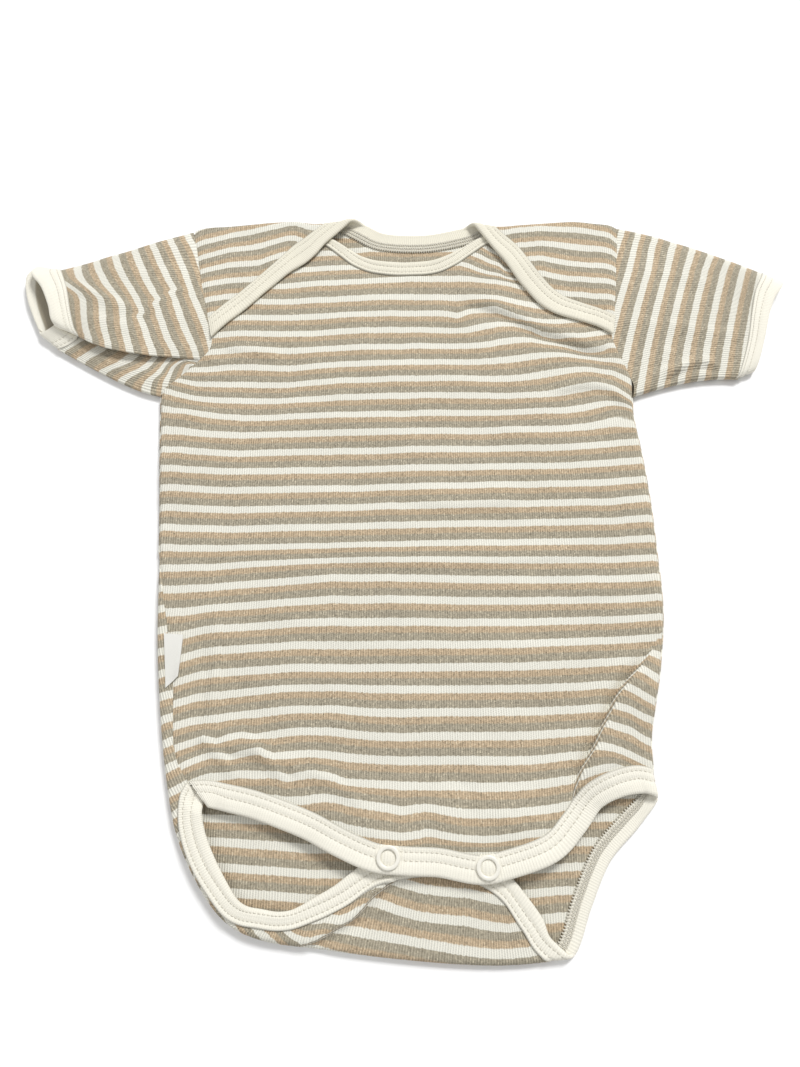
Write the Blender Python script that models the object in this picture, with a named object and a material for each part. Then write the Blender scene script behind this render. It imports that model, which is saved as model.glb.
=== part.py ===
"""A baby's short-sleeved bodysuit with an envelope neck, in striped rib, laid flat on its back.

Each panel is an outline in its flat cut. The cut is filled with points, and a "lay" function
puts every point where the cloth lies: flat, round a fold, or back over itself. Bindings follow
an edge of the same cut, so they turn with the cloth. Sleeves and cuffs are flattened tubes
through rings. All tables are in millimetres: x to the right, y towards the neck, z up from the
surface that the garment lies on. Outlines run counterclockwise, so that the way out of the
garment is always on a line's right-hand side.
"""

import math
from collections import namedtuple

import bmesh
import bpy
import numpy as np
from mathutils.geometry import delaunay_2d_cdt
from mathutils.kdtree import KDTree

MM = 0.001

# Cloth and trims
CLOTH = 1.1  # thickness of the rib
BINDING = 1.9  # thickness of a strip folded over an edge
BINDING_WIDTH = 11.0  # neck and leg bindings
SEAM = 0.3  # gap between two pieces that are sewn together
LABEL = 1.0  # thickness of the folded tape

# Heights of the middle of the cloth above the surface
FLOOR = CLOTH / 2
TOP = 4.55  # the front, over the back
NECK_DROP = 0.9  # how much lower the front lies under the shoulder laps
LAP_RISE = 1.5  # a lap's cloth over the front's, at the lap's tip
LAP_LOFT = 0.9  # the extra room at the shoulder, where the neck binding lies between
FLAP_DROP = 1.5  # how much lower the turned-up crotch flap lies than the front
CROTCH_RISE = 2.2  # how much higher the front lies over the flap and its snaps

# Snaps
SNAP_OUTER = 4.8  # radius of the prong ring in front
SNAP_BACK = 4.2  # radius of the one behind
SNAP_HOLE = 3.1
SNAP_RING = 0.8  # its thickness
SNAP_CORE = 3.5  # radius of the pressed socket and stud
SNAP_GAP = 0.3
SNAP_BEVEL = 0.25
SNAP_SIDES = 28
SNAPS = {"left": (-7.7, -137.6), "right": (32.1, -141.3)}

PANEL_STEP = 8.5  # spacing of the points that fill a panel
RIM_ROOM = 1.2  # how near an edge such a point may lie
EDGE_STEP = 7.0
EDGE_TURN = 0.6  # radians that a laid edge turns between two of its points, at most
FOLD_STEPS = 4  # bends in a half turn
UNDERARM = 74.0  # the side folds lie below this y

# The outside of the folds, with the radius of the turn: down the left side, along the bottom
LEFT_AND_BOTTOM = (  # x, y, radius
    (-123.2, 84, 2.0), (-119.8, 46, 2.0), (-116.0, 9, 2.0), (-112.9, -25, 2.0), (-110.4, -52, 2.0),
    (-105.6, -84, 2.0), (-100.4, -109, 2.0), (-94.5, -129, 1.9), (-84.7, -147.0, 1.8),
    (-72.3, -161.2, 1.7), (-57.0, -167.9, 1.5), (-35.0, -170.9, 1.3), (-8.0, -174.0, 1.25),
    (20.0, -176.2, 1.25), (40.0, -176.5, 1.3), (60.0, -174.8, 1.5), (90.0, -171.0, 1.6),
)
RIGHT_SIDE = (  # x, y, radius: up the right side
    (112.0, -135, 2.0), (107.0, -122, 2.0), (104.4, -113, 2.0), (103.6, -104, 2.0), (104.2, -90, 2.0),
    (107.3, -76.5, 2.0), (112.3, -56, 2.0), (115.6, -34, 2.0), (116.2, -5, 2.0), (115.9, 20, 2.0),
    (114.4, 46, 2.0), (112.7, 66, 2.0), (114.0, 82, 2.0),
)
SHOULDERS = (  # x, y, radius: from the right sleeve to the left one
    (125.0, 178, 2.3), (114.6, 180.0, 2.3), (108.9, 182.0, 2.4), (89.9, 183.8, 2.4), (62.4, 181.6, 2.4),
    (50.0, 180.8, 2.4), (40.0, 182.5, 2.4), (20.0, 186.0, 2.4), (-12.0, 187.0, 2.4), (-28.0, 185.4, 2.4),
    (-38.0, 183.6, 2.4), (-50.0, 182.6, 2.4), (-63.1, 184.3, 2.4), (-84.8, 182.0, 2.4),
    (-106.5, 179.7, 2.4), (-115.3, 177.5, 2.3), (-125.0, 174, 2.3),
)
SIDE_SEAM = (  # y, how far round the left fold the side seam lies from its underside
    (90, 3.14), (0, 3.14), (-15, 4.2), (-30, 6.4), (-40, 8.4), (-57, 9.8), (-70, 10.4), (-83, 9.4),
    (-94, 8.6), (-102, 9.6), (-110, 12.9),
)
RIGHT_ARMHOLE = (  # x, y: up
    (113.7, 76.6), (114.2, 81.9), (112.4, 87.8), (109.4, 96.8), (106.9, 104.4), (105.8, 110.5),
    (107.6, 121.4), (110.7, 143.9), (112.2, 157.1), (113.6, 168.9), (114.2, 179.5),
)
LEFT_ARMHOLE = (  # x, y: down
    (-115.0, 177.0), (-112.1, 166.1), (-107.2, 142.2), (-101.8, 119.3), (-99.4, 108.1), (-100.4, 101.5),
    (-107.5, 92.6), (-114.6, 85.0), (-120.6, 79.4), (-122.4, 77.0),
)
FRONT_NECK = (  # x, y, binding's width: from the right armhole to the left one, mostly under the laps
    (113.4, 169.5, 5.0), (80.0, 171.0, 5.0), (56.0, 171.0, 5.0), (45.0, 169.5, 5.5), (34.6, 161.6, 7.0),
    (26.4, 155.0, 8.0), (15.6, 149.8, 8.8), (-0.3, 147.9, 9.0), (-16.3, 149.8, 8.8), (-27.0, 154.4, 8.0),
    (-35.2, 161.0, 7.0), (-45.0, 169.2, 5.5), (-56.0, 171.0, 5.0), (-80.0, 171.0, 5.0),
    (-112.6, 169.5, 5.0),
)
BACK_NECK = (  # x, y, lies on: the laps' edges and the back neck, from the right tip to the left one
    (107.9, 121.6, "lap"), (100.4, 126.0, "lap"), (90.4, 129.7, "lap"), (80.4, 135.3, "lap"),
    (71.1, 146.8, "lap"), (60.6, 164.7, "lap"), (49.9, 177.3, "lap"), (40.6, 175.3, "floor"),
    (28.8, 170.3, "floor"), (9.4, 166.6, "floor"), (-13.8, 168.0, "floor"), (-28.1, 175.6, "floor"),
    (-47.8, 177.7, "lap"), (-56.7, 169.7, "lap"), (-66.8, 158.5, "lap"), (-76.7, 147.4, "lap"),
    (-86.5, 136.6, "lap"), (-93.8, 129.1, "lap"), (-101.9, 119.6, "lap"),
)
LAP_TIPS = {"right": (105.9, 110.6), "left": (-99.3, 108.6)}  # finished ends of the lap binding
FRONT_LEGS = (  # x, y: from the left side seam, along the leg and crotch edges, to the right one
    (-90.7, -108.1), (-82.8, -107.8), (-75.7, -109.0), (-62.7, -111.8), (-49.7, -116.1),
    (-37.2, -120.9), (-24.5, -127.2), (-11.9, -132.2), (0.0, -133.4), (13.5, -134.0), (28.3, -136.6),
    (37.9, -135.1), (54.7, -129.5), (63.7, -121.1), (72.9, -110.2), (84.6, -104.2), (95.6, -101.8),
    (104.0, -103.4),
)
FRONT_LEG_ENDS = ((-85.4, -115.3), (104.0, -113.4))  # finished corners of its binding
BACK_LEGS = (  # x, y, lies on: the left leg, the flap's end and the right leg
    (-92.0, -108.8, "turned"), (-93.9, -113.5, "turned"), (-94.2, -120.0, "turned"),
    (-91.7, -130.2, "turned"), (-84.8, -143.3, "turned"), (-75.0, -155.2, "turned"),
    (-60.7, -162.0, "turned"), (-43.2, -162.3, "turned"), (-25.8, -155.5, "turned"),
    (-11.6, -147.5, "turned"), (2.0, -145.2, "turned"), (16.0, -145.2, "turned"),
    (27.0, -147.2, "turned"), (36.9, -153.0, "turned"), (44.4, -163.4, "turned"),
    (50.1, -172.0, "turned"), (60.0, -166.9, "floor"), (65.8, -152.7, "floor"),
    (75.4, -134.2, "floor"), (88.0, -120.9, "floor"), (97.0, -113.0, "floor"), (104.0, -105.0, "floor"),
)
BACK_LEG_ENDS = ((-86.2, -116.0, "turned"), (104.2, -115.2, "floor"))

Crease = namedtuple("Crease", "rise before after path")
CREASES = (  # height, reach on the steep side, reach on the gentle side, line with that side on its right
    Crease(2.8, 3.5, 26.0, ((67.5, -117), (71.4, -105.9), (81.4, -85.6), (87.5, -75.2), (95.6, -62.3), (105, -49))),
    Crease(1.3, 2.5, 12.0, ((104, 95.5), (87.7, 102.2), (75.1, 108.3), (62.6, 117.6), (49.9, 125.4), (34, 131))),
    Crease(1.6, 2.5, 9.0, ((109.5, 66), (105.7, 74), (98.6, 79.8), (86.0, 80.5), (70.0, 76.0))),
    Crease(1.4, 3.5, 8.0, ((-40, -107), (-56, -99.5), (-70, -95.5), (-88, -92))),
    Crease(1.2, 3.5, 7.0, ((-62, -86), (-76, -84), (-92, -87))),
    Crease(1.0, 4.0, 9.0, ((-84, -30), (-83, -60), (-86, -84))),
    Crease(1.0, 6.0, 12.0, ((60, 22), (30, 17), (-5, 20))),
    Crease(1.1, 4.0, 9.0, ((-60, 96), (-76, 100), (-94, 104))),
)

# Rings of the sleeves, from the shoulder fold over the top to the underarm and back below. Each row
# gives where it starts on the armhole (share of the way down, height), then its place half way
# along, at the cuff's seam and at the cuff's mouth.
RingRow = namedtuple("RingRow", "share height middle cuff mouth")
RIGHT_SLEEVE = (
    RingRow(0.00, 3.0, (152.0, 167.3, 3.0), (189.4, 150.6, 2.6), (199.8, 143.6, 2.6)),
    RingRow(0.06, 5.8, (151.0, 163.0, 5.8), (187.4, 146.5, 5.2), (197.1, 139.3, 5.4)),
    RingRow(0.30, 6.2, (149.5, 147.0, 6.4), (182.6, 137.0, 5.9), (192.3, 132.5, 6.0)),
    RingRow(0.55, 6.0, (147.0, 125.0, 6.2), (178.8, 124.0, 5.8), (187.8, 122.5, 5.9)),
    RingRow(0.80, 4.9, (144.5, 103.0, 5.4), (174.4, 106.5, 5.2), (183.6, 109.0, 5.3)),
    RingRow(0.96, 4.3, (143.3, 89.0, 4.6), (168.6, 90.6, 4.6), (179.2, 96.6, 4.6)),
    RingRow(1.00, 2.6, (143.0, 85.0, 2.6), (166.0, 86.6, 2.6), (177.0, 92.0, 2.6)),
    RingRow(0.96, 0.55, (143.5, 88.6, 0.55), (168.8, 90.8, 0.55), (179.0, 96.0, 0.55)),
    RingRow(0.75, 0.55, (145.0, 105.0, 0.55), (174.5, 107.0, 0.55), (183.8, 109.5, 0.55)),
    RingRow(0.50, 0.55, (147.5, 128.0, 0.55), (179.4, 126.0, 0.55), (188.4, 124.0, 0.55)),
    RingRow(0.25, 0.55, (150.0, 150.0, 0.55), (184.0, 140.0, 0.55), (193.8, 135.5, 0.55)),
    RingRow(0.04, 0.55, (151.5, 164.5, 0.55), (188.2, 148.4, 0.55), (198.3, 141.4, 0.55)),
)
LEFT_SLEEVE = (
    RingRow(0.00, 3.0, (-150.0, 163.8, 3.0), (-184.0, 151.6, 3.2), (-196.5, 150.6, 4.4)),
    RingRow(0.06, 5.8, (-148.5, 160.0, 6.0), (-181.0, 148.0, 6.8), (-195.4, 147.0, 7.8)),
    RingRow(0.30, 6.2, (-145.0, 146.0, 7.2), (-176.1, 136.6, 8.6), (-189.0, 136.0, 9.6)),
    RingRow(0.52, 6.0, (-142.0, 125.0, 8.2), (-171.8, 122.0, 9.2), (-183.6, 123.5, 9.9)),
    RingRow(0.70, 5.6, (-141.5, 104.5, 8.8), (-167.2, 111.0, 9.0), (-180.0, 115.8, 9.6)),
    RingRow(0.75, 4.8, (-141.3, 99.3, 7.4), (-166.0, 107.6, 7.6), (-178.6, 112.9, 8.2)),
    RingRow(0.79, 4.4, (-142.3, 103.0, 5.0), (-168.8, 111.0, 5.2), (-181.6, 116.6, 5.6)),
    RingRow(0.87, 4.5, (-143.2, 92.5, 4.6), (-174.0, 107.0, 4.6), (-184.8, 115.6, 4.8)),
    RingRow(1.00, 2.6, (-143.0, 84.6, 2.6), (-178.0, 105.6, 2.4), (-187.2, 114.2, 3.0)),
    RingRow(0.93, 0.55, (-146.0, 91.0, 0.55), (-180.0, 113.5, 0.55), (-190.6, 120.5, 1.6)),
    RingRow(0.60, 0.55, (-150.0, 118.0, 0.55), (-184.5, 126.0, 0.55), (-195.7, 131.0, 1.8)),
    RingRow(0.30, 0.55, (-151.0, 142.0, 0.55), (-187.8, 139.0, 0.55), (-198.7, 141.0, 2.4)),
    RingRow(0.04, 0.55, (-151.0, 161.0, 0.55), (-187.5, 148.6, 1.0), (-199.0, 147.6, 3.2)),
)
RING_POINTS = 39
SLEEVE_STATIONS = 7
CUFF_GAP = 0.95  # from the sleeve's last ring to the cuff's first one, on average round them

LABEL_CORNERS = ((-107.4, -45.6), (-98.9, -46.2), (-99.3, -64.6), (-104.4, -69.6))

# Colours: base colour, roughness, metallic
FINISHES = {
    "striped_rib": ((0.60, 0.50, 0.40), 0.95, 0.0),
    "cream_rib": ((0.86, 0.82, 0.73), 0.92, 0.0),
    "snap_enamel": ((0.88, 0.85, 0.77), 0.35, 0.0),
    "label_tape": ((0.90, 0.89, 0.85), 0.6, 0.0),
}


# ---- Lines and folds -------------------------------------------------------------------------


def unit(vectors):
    return vectors / np.linalg.norm(vectors, axis=-1, keepdims=True)


def ease(value, start, end):
    """0 before start, 1 after end, and a smooth climb between."""
    share = np.clip((value - start) / (end - start), 0, 1)
    return share * share * (3 - 2 * share)


def right_hand(directions):
    return np.column_stack([directions[:, 1], -directions[:, 0]])


def spaced(line, step):
    """The same line with its points evenly about a step apart."""
    run = np.concatenate([[0], np.cumsum(np.linalg.norm(np.diff(line[:, :2], axis=0), axis=1))])
    at = np.linspace(0, run[-1], max(2, round(run[-1] / step) + 1))
    return np.column_stack([np.interp(at, run, column) for column in line.T])


def spline(rows, at, closed=False):
    """Smooth values at row numbers that may lie between two rows."""
    rows = np.array(rows, float)
    if closed:
        padded = np.vstack([rows[-1:], rows, rows[:2]])
    else:
        padded = np.vstack([2 * rows[0] - rows[1], rows, 2 * rows[-1] - rows[-2]])
    first = np.clip(np.floor(at).astype(int), 0, len(padded) - 4)
    t = (at - first)[:, None]
    a, b, c, d = (padded[first + k] for k in range(4))
    return 0.5 * (2 * b + (c - a) * t + (2 * a - 5 * b + 4 * c - d) * t**2 + (3 * b - a - 3 * c + d) * t**3)


def curve(rows, step=1.0):
    """A smooth line through the rows, with its points a step apart."""
    fine = 16
    return spaced(spline(rows, np.linspace(0, len(rows) - 1, fine * (len(rows) - 1) + 1)), step)


class Line:
    """A smooth line in plan, and how far out of it a point lies, on its right-hand side."""

    def __init__(self, rows, inset=0.0):
        line = curve(rows)
        points = line[:, :2]
        self.radius = line[:, 2] if line.shape[1] > 2 else np.zeros(len(line))
        out = right_hand(unit(np.gradient(points, axis=0)))
        self.points = points - out * (self.radius + inset)[:, None]
        self.along = unit(np.gradient(self.points, axis=0))
        self.out = right_hand(self.along)
        turn = np.gradient(self.along, axis=0)
        pace = np.linalg.norm(np.gradient(self.points, axis=0), axis=1)
        self.bend = (self.along[:, 0] * turn[:, 1] - self.along[:, 1] * turn[:, 0]) / pace
        self.tree = KDTree(len(self.points))
        for number, (x, y) in enumerate(self.points):
            self.tree.insert((x, y, 0), number)
        self.tree.balance()

    def reach(self, plan):
        """Each point's foot on the line, the way out there, how far out it lies and its row."""
        near = np.array([self.tree.find((x, y, 0))[1] for x, y in plan], dtype=int)
        offset = plan - self.points[near]
        distance = (offset * self.out[near]).sum(1)
        room = np.maximum(1 + self.bend[near] * distance, 0.2)
        slip = (offset * self.along[near]).sum(1) / room
        foot = self.points[near] + self.along[near] * slip[:, None]
        out = unit(self.out[near] + self.along[near] * (self.bend[near] * slip)[:, None])
        return foot, out, ((plan - foot) * out).sum(1), near + slip


class Fold(Line):
    """A line about which cloth turns over, inside the fold's outermost edge."""

    def __init__(self, rows):
        super().__init__(rows, inset=CLOTH / 2)

    def bend_at(self, plan):
        foot, out, beyond, row = self.reach(plan)
        return foot, out, beyond, np.interp(row, np.arange(len(self.radius)), self.radius)

    def opened(self, plan):
        """Where in the flat cut a point lies that is seen on the turned-over side."""
        foot, out, beyond, radius = self.bend_at(plan)
        return foot + out * (math.pi * radius - beyond)[:, None]


class LevelFold(Fold):
    """A fold over which everything turns straight along y, as at the shoulders."""

    def bend_at(self, plan):
        order = np.argsort(self.points[:, 0])
        level = np.interp(plan[:, 0], self.points[order, 0], self.points[order, 1])
        radius = np.interp(plan[:, 0], self.points[order, 0], self.radius[order])
        foot = np.column_stack([plan[:, 0], level])
        return foot, np.tile((0.0, 1.0), (len(plan), 1)), plan[:, 1] - level, radius


body_fold = Fold(LEFT_AND_BOTTOM)
right_fold = Fold(RIGHT_SIDE)
shoulder_fold = LevelFold(SHOULDERS)
creases = [(crease, Line(crease.path)) for crease in CREASES]


# ---- Heights ---------------------------------------------------------------------------------


def relief(plan):
    """How far the creases lift the top of the garment."""
    total = np.zeros(len(plan))
    for crease, line in creases:
        _, _, side, row = line.reach(plan)
        last = len(line.points) - 1
        fade = ease(row, 0, 0.25 * last) * (1 - ease(row, 0.75 * last, last))
        total += crease.rise * fade * ease(side, -crease.before, 0) * (1 - ease(side, 0, crease.after))
    return total


def front_height(plan):
    x, y = plan.T
    over_flap = ease(-y, 104, 128) * ease(x, -50, -22) * (1 - ease(x, 48, 70))
    return TOP - NECK_DROP * ease(y, 140, 165) + CROTCH_RISE * over_flap + relief(plan)


def lap_height(plan):
    return front_height(plan) + LAP_RISE + LAP_LOFT * ease(plan[:, 1], 140, 165)


def turned_up_height(plan):
    """The back's cloth where it comes round the left side or up over the bottom."""
    x, y = plan.T
    return TOP - FLAP_DROP * ease(x, -75, -25) + relief(plan) * ease(y, -125, -108)


def turn(cut, fold, half, near, far):
    """Cloth that lies at one height up to a fold, runs round it and comes back at another height."""
    foot, out, beyond, radius = fold.bend_at(cut)
    angle = np.clip(beyond / radius, 0, math.pi)
    away = (radius + CLOTH / 2 - half) * np.sin(angle) - np.maximum(beyond - math.pi * radius, 0)
    plan = np.where(beyond[:, None] > 0, foot + out * away[:, None], cut)
    share = (1 - np.cos(angle)) / 2
    height = near(plan) * (1 - share) + far(plan) * share
    return np.column_stack([plan, height])


def lay_front(cut, half=FLOOR):
    """The front: flat on top, and a quarter turn down at each side."""

    def top(plan):
        return front_height(plan) + half - FLOOR

    def under(plan):
        return np.full(len(plan), half)

    left = cut[:, 0] < 0
    place = np.empty((len(cut), 3))
    place[left] = turn(cut[left], body_fold, half, top, under)
    place[~left] = turn(cut[~left], right_fold, half, top, under)
    return place


def lay_back(cut, half=FLOOR):
    """The back: flat on the surface, up round the sides, and over at the shoulders and the crotch."""
    lift = half - FLOOR

    def under(plan):
        return np.full(len(plan), half)

    def over_shoulder(plan):
        return lap_height(plan) + lift

    def over_body(plan):
        return turned_up_height(plan) + lift

    def over_right(plan):
        return front_height(plan) + lift

    shoulder = cut[:, 1] > 130
    right = ~shoulder & (cut[:, 0] > 70) & (cut[:, 1] > -140)
    rest = ~shoulder & ~right
    place = np.empty((len(cut), 3))
    place[shoulder] = turn(cut[shoulder], shoulder_fold, half, under, over_shoulder)
    place[right] = turn(cut[right], right_fold, half, under, over_right)
    place[rest] = turn(cut[rest], body_fold, half, under, over_body)
    return place


def edge_points(line, lay):
    """Points along an edge of the cut, closer together where the laid edge turns."""
    fine = spaced(line, 0.5)
    way = unit(np.diff(lay(fine[:, :2]), axis=0))
    turned = np.arccos(np.clip((way[1:] * way[:-1]).sum(1), -1, 1))
    effort = np.concatenate([[0], np.cumsum(0.5 / EDGE_STEP + np.append(turned, 0) / EDGE_TURN)])
    at = np.linspace(0, effort[-1], math.ceil(effort[-1]) + 1)
    return np.column_stack([np.interp(at, effort, column) for column in fine.T])


def normals(lay, cut):
    """The cloth's normal at each point of the cut, from how the lay changes beside it."""
    beside = 0.05
    across = lay(cut + (beside, 0)) - lay(cut - (beside, 0))
    up = lay(cut + (0, beside)) - lay(cut - (0, beside))
    return unit(np.cross(across, up))


# ---- Meshes ----------------------------------------------------------------------------------


def material(slot):
    found = bpy.data.materials.get(slot)
    if found:
        return found
    colour, roughness, metallic = FINISHES[slot]
    made = bpy.data.materials.new(slot)
    made.use_nodes = True
    shader = made.node_tree.nodes["Principled BSDF"]
    shader.inputs["Base Color"].default_value = (*colour, 1)
    shader.inputs["Roughness"].default_value = roughness
    shader.inputs["Metallic"].default_value = metallic
    return made


def solid(name, points, faces, slot):
    """One named object from millimetre points, its faces turned outwards."""
    mesh = bpy.data.meshes.new(name)
    mesh.from_pydata((np.asarray(points) * MM).tolist(), [], faces)
    shape = bmesh.new()
    shape.from_mesh(mesh)
    bmesh.ops.recalc_face_normals(shape, faces=shape.faces)
    shape.to_mesh(mesh)
    shape.free()
    mesh.shade_smooth()
    mesh.set_sharp_from_angle(angle=math.radians(40))
    mesh.materials.append(material(slot))
    piece = bpy.data.objects.new(name, mesh)
    bpy.context.collection.objects.link(piece)
    return piece


def inside(points, outline):
    """Whether each point lies inside a closed outline."""
    x, y = points.T
    crossings = np.zeros(len(points), int)
    for (ax, ay), (bx, by) in zip(outline, np.roll(outline, -1, axis=0)):
        if ay != by:
            spans = (ay > y) != (by > y)
            crossings += spans & (x < ax + (y - ay) * (bx - ax) / (by - ay))
    return crossings % 2 == 1


def fold_rows(fold):
    """Points in lines along a fold, at even turns round it."""
    picked = slice(None, None, round(EDGE_STEP))
    start, out = fold.points[picked], fold.out[picked]
    reach = math.pi * fold.radius[picked]
    return np.vstack([start + out * (reach * share)[:, None] for share in np.linspace(0, 1, FOLD_STEPS + 1)])


def panel(name, outline, lay, fixed, slot="striped_rib"):
    """A piece of cloth: its outline filled with points, laid, and thick to both sides of its middle."""
    low, high = outline.min(axis=0), outline.max(axis=0)
    columns = np.arange(low[0], high[0], PANEL_STEP)
    rows = np.arange(low[1], high[1], PANEL_STEP * 0.9)
    grid = np.array([(x + PANEL_STEP / 2 * (k % 2), y) for k, y in enumerate(rows) for x in columns])
    clear = KDTree(len(fixed))
    for number, (x, y) in enumerate(fixed):
        clear.insert((x, y, 0), number)
    clear.balance()
    grid = grid[[clear.find((x, y, 0))[2] > PANEL_STEP * 0.55 for x, y in grid]]
    rim = KDTree(len(outline))
    for number, (x, y) in enumerate(outline):
        rim.insert((x, y, 0), number)
    rim.balance()
    loose = np.vstack([grid, fixed])
    loose = loose[inside(loose, outline)]
    room = np.array([rim.find((x, y, 0))[2] for x, y in loose])
    loose = loose[room > RIM_ROOM]
    corners = [tuple(point) for point in np.vstack([outline, loose])]
    flat, _, triangles, _, _, _ = delaunay_2d_cdt(corners, [], [list(range(len(outline)))], 1, 1e-4)
    cut = np.array([tuple(point) for point in flat])
    middle, normal = lay(cut), normals(lay, cut)
    count = len(cut)
    points = np.vstack([middle + normal * CLOTH / 2, middle - normal * CLOTH / 2])
    faces = [tuple(triangle) for triangle in triangles]
    edges = {(a, b) for a, b, c in faces for a, b in ((a, b), (b, c), (c, a))}
    rim_edges = [(a, b) for a, b in edges if (b, a) not in edges]
    under = [tuple(count + k for k in reversed(face)) for face in faces]
    sides = [(b, a, a + count, b + count) for a, b in rim_edges]
    return solid(name, points, faces + under + sides, slot)


def section(width, half):
    """A binding's section: a nearly square sewn edge and a round folded edge."""
    return (
        (0.0, -0.7 * half), (0.6, -half), (width - 1.2, -half), (width, -0.4 * half),
        (width, 0.4 * half), (width - 1.2, half), (0.6, half), (0.0, 0.7 * half),
    )


def swept(name, rings, slot, closed=False):
    """A solid through rings of points, its ends capped unless it closes on itself."""
    count, size = len(rings), len(rings[0])
    points = np.vstack(rings)
    faces = []
    for k in range(count if closed else count - 1):
        here, there = k * size, (k + 1) % count * size
        faces += [
            (here + j, here + (j + 1) % size, there + (j + 1) % size, there + j) for j in range(size)
        ]
    if not closed:
        faces += [tuple(range(size)), tuple(reversed(range((count - 1) * size, count * size)))]
    return solid(name, points, faces, slot)


def binding(name, edge, start, end, lay, widths=BINDING_WIDTH):
    """A folded strip along an edge of the cut, with slanted ends, laid as the cloth lies."""
    path = edge[:, :2]
    run = np.linalg.norm(np.diff(path, axis=0), axis=1).cumsum()
    run = np.concatenate([[0], run])
    out = right_hand(unit(np.gradient(path, axis=0))) * np.reshape(widths, (-1, 1))
    for slant, here, distance in ((start, path[0], run), (end, path[-1], run[-1] - run)):
        share = (1 - ease(distance, 0, 14))[:, None]
        out = out * (1 - share) + (np.array(slant) - here) * share
    half = BINDING / 2

    def lay_binding(cut):
        return lay(cut, half)

    rings = []
    size = np.linalg.norm(out, axis=1)
    shape = [section(width - SEAM, half) for width in size]
    for k in range(len(shape[0])):
        across = np.array([ring[k][0] for ring in shape]) + SEAM
        rise = np.array([ring[k][1] for ring in shape])
        cut = path + out * (across / size)[:, None]
        rings.append(lay_binding(cut) + normals(lay_binding, cut) * rise[:, None])
    return swept(name, list(np.stack(rings, axis=1)), "cream_rib")


# ---- Panels and bindings ---------------------------------------------------------------------


def placed(rows, fold):
    """Rows that say what they lie on, as points of the flat cut."""
    plan = np.array([(x, y) for x, y, _ in rows])
    turned_over = np.array([lies_on != "floor" for _, _, lies_on in rows])
    return np.where(turned_over[:, None], fold.opened(plan), plan)


def armhole(rows, inward):
    """An armhole's edge, moved a little into the panel."""
    line = curve(rows)
    return line - right_hand(unit(np.gradient(line, axis=0))) * inward


half_gap = SEAM / 2
right_side = right_fold.points + right_fold.out * (math.pi / 2 * right_fold.radius - half_gap)[:, None]
right_side = right_side[(right_side[:, 1] > -103) & (right_side[:, 1] < 75.5)]
side_span = (body_fold.points[:, 1] > -109.6) & (body_fold.points[:, 1] < 75.8) & (body_fold.points[:, 0] < -80)
seam_y, seam_arc = np.array(SIDE_SEAM[::-1]).T
seam_round = np.interp(body_fold.points[side_span, 1], seam_y, seam_arc)
half_turn = math.pi * body_fold.radius[side_span]
left_start, left_out = body_fold.points[side_span], body_fold.out[side_span]
left_side_of_back = left_start + left_out * (seam_round - half_gap)[:, None]
left_side_of_front = left_start + left_out * (half_turn - seam_round - half_gap)[:, None]
right_armhole = armhole(RIGHT_ARMHOLE, half_gap)
left_armhole = armhole(LEFT_ARMHOLE, half_gap)


def joined(*edges):
    """One outline from its edges in order, without an edge's last point where the next one starts."""
    kept = []
    for edge, following in zip(edges, edges[1:] + edges[:1]):
        close = np.linalg.norm(edge[-1, :2] - following[0, :2]) < 1.2
        kept.append(edge[:-1, :2] if close else edge[:, :2])
    return np.vstack(kept)


def make_front():
    neck = edge_points(curve(FRONT_NECK), lay_front)
    legs = edge_points(curve(FRONT_LEGS), lay_front)
    edges = (
        edge_points(right_side, lay_front),
        edge_points(right_armhole[right_armhole[:, 1] < 169.0], lay_front),
        neck,
        edge_points(left_armhole[left_armhole[:, 1] < 169.0], lay_front),
        edge_points(left_side_of_front, lay_front),
        legs,
    )
    folds = np.vstack([fold_rows(body_fold), fold_rows(right_fold)])
    panel("front_panel", joined(*edges), lay_front, folds[folds[:, 1] < UNDERARM])
    ends = neck[0, :2] + (0.4, 5), neck[-1, :2] + (-0.4, 5)
    binding("neck_binding_front", neck, *ends, lay_front, widths=neck[:, 2])
    binding("leg_binding_front", legs, *FRONT_LEG_ENDS, lay_front)


def make_back():
    neck = edge_points(curve(placed(BACK_NECK, shoulder_fold)), lay_back)
    legs = edge_points(curve(placed(BACK_LEGS, body_fold)), lay_back)
    right_lap = shoulder_fold.opened(right_armhole[right_armhole[:, 1] > 121.6])
    left_lap = shoulder_fold.opened(left_armhole[left_armhole[:, 1] > 119.6])
    right_hole = np.vstack([right_armhole[right_armhole[:, 1] < 177.0], right_lap[right_lap[:, 1] > 186.0][::-1]])
    left_hole = np.vstack([left_lap[left_lap[:, 1] > 184.0][::-1], left_armhole[left_armhole[:, 1] < 174.0]])
    edges = (
        edge_points(right_side, lay_back),
        edge_points(right_hole, lay_back),
        neck,
        edge_points(left_hole, lay_back),
        edge_points(left_side_of_back, lay_back),
        legs,
    )
    turns = np.linspace(0, math.pi * shoulder_fold.radius.mean(), FOLD_STEPS + 1)
    level = spaced(shoulder_fold.points, EDGE_STEP)
    shoulder_rows = np.vstack([level + (0, way) for way in turns])
    folds = np.vstack([fold_rows(body_fold), fold_rows(right_fold)])
    folds = np.vstack([folds[folds[:, 1] < UNDERARM], shoulder_rows])
    panel("back_panel", joined(*edges), lay_back, folds)
    tips = shoulder_fold.opened(np.array([LAP_TIPS["right"], LAP_TIPS["left"]]))
    binding("neck_binding_back", neck, tips[0], tips[1], lay_back)
    binding("leg_binding_back", legs, *placed(BACK_LEG_ENDS, body_fold), lay_back)


# ---- Sleeves ---------------------------------------------------------------------------------


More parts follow.
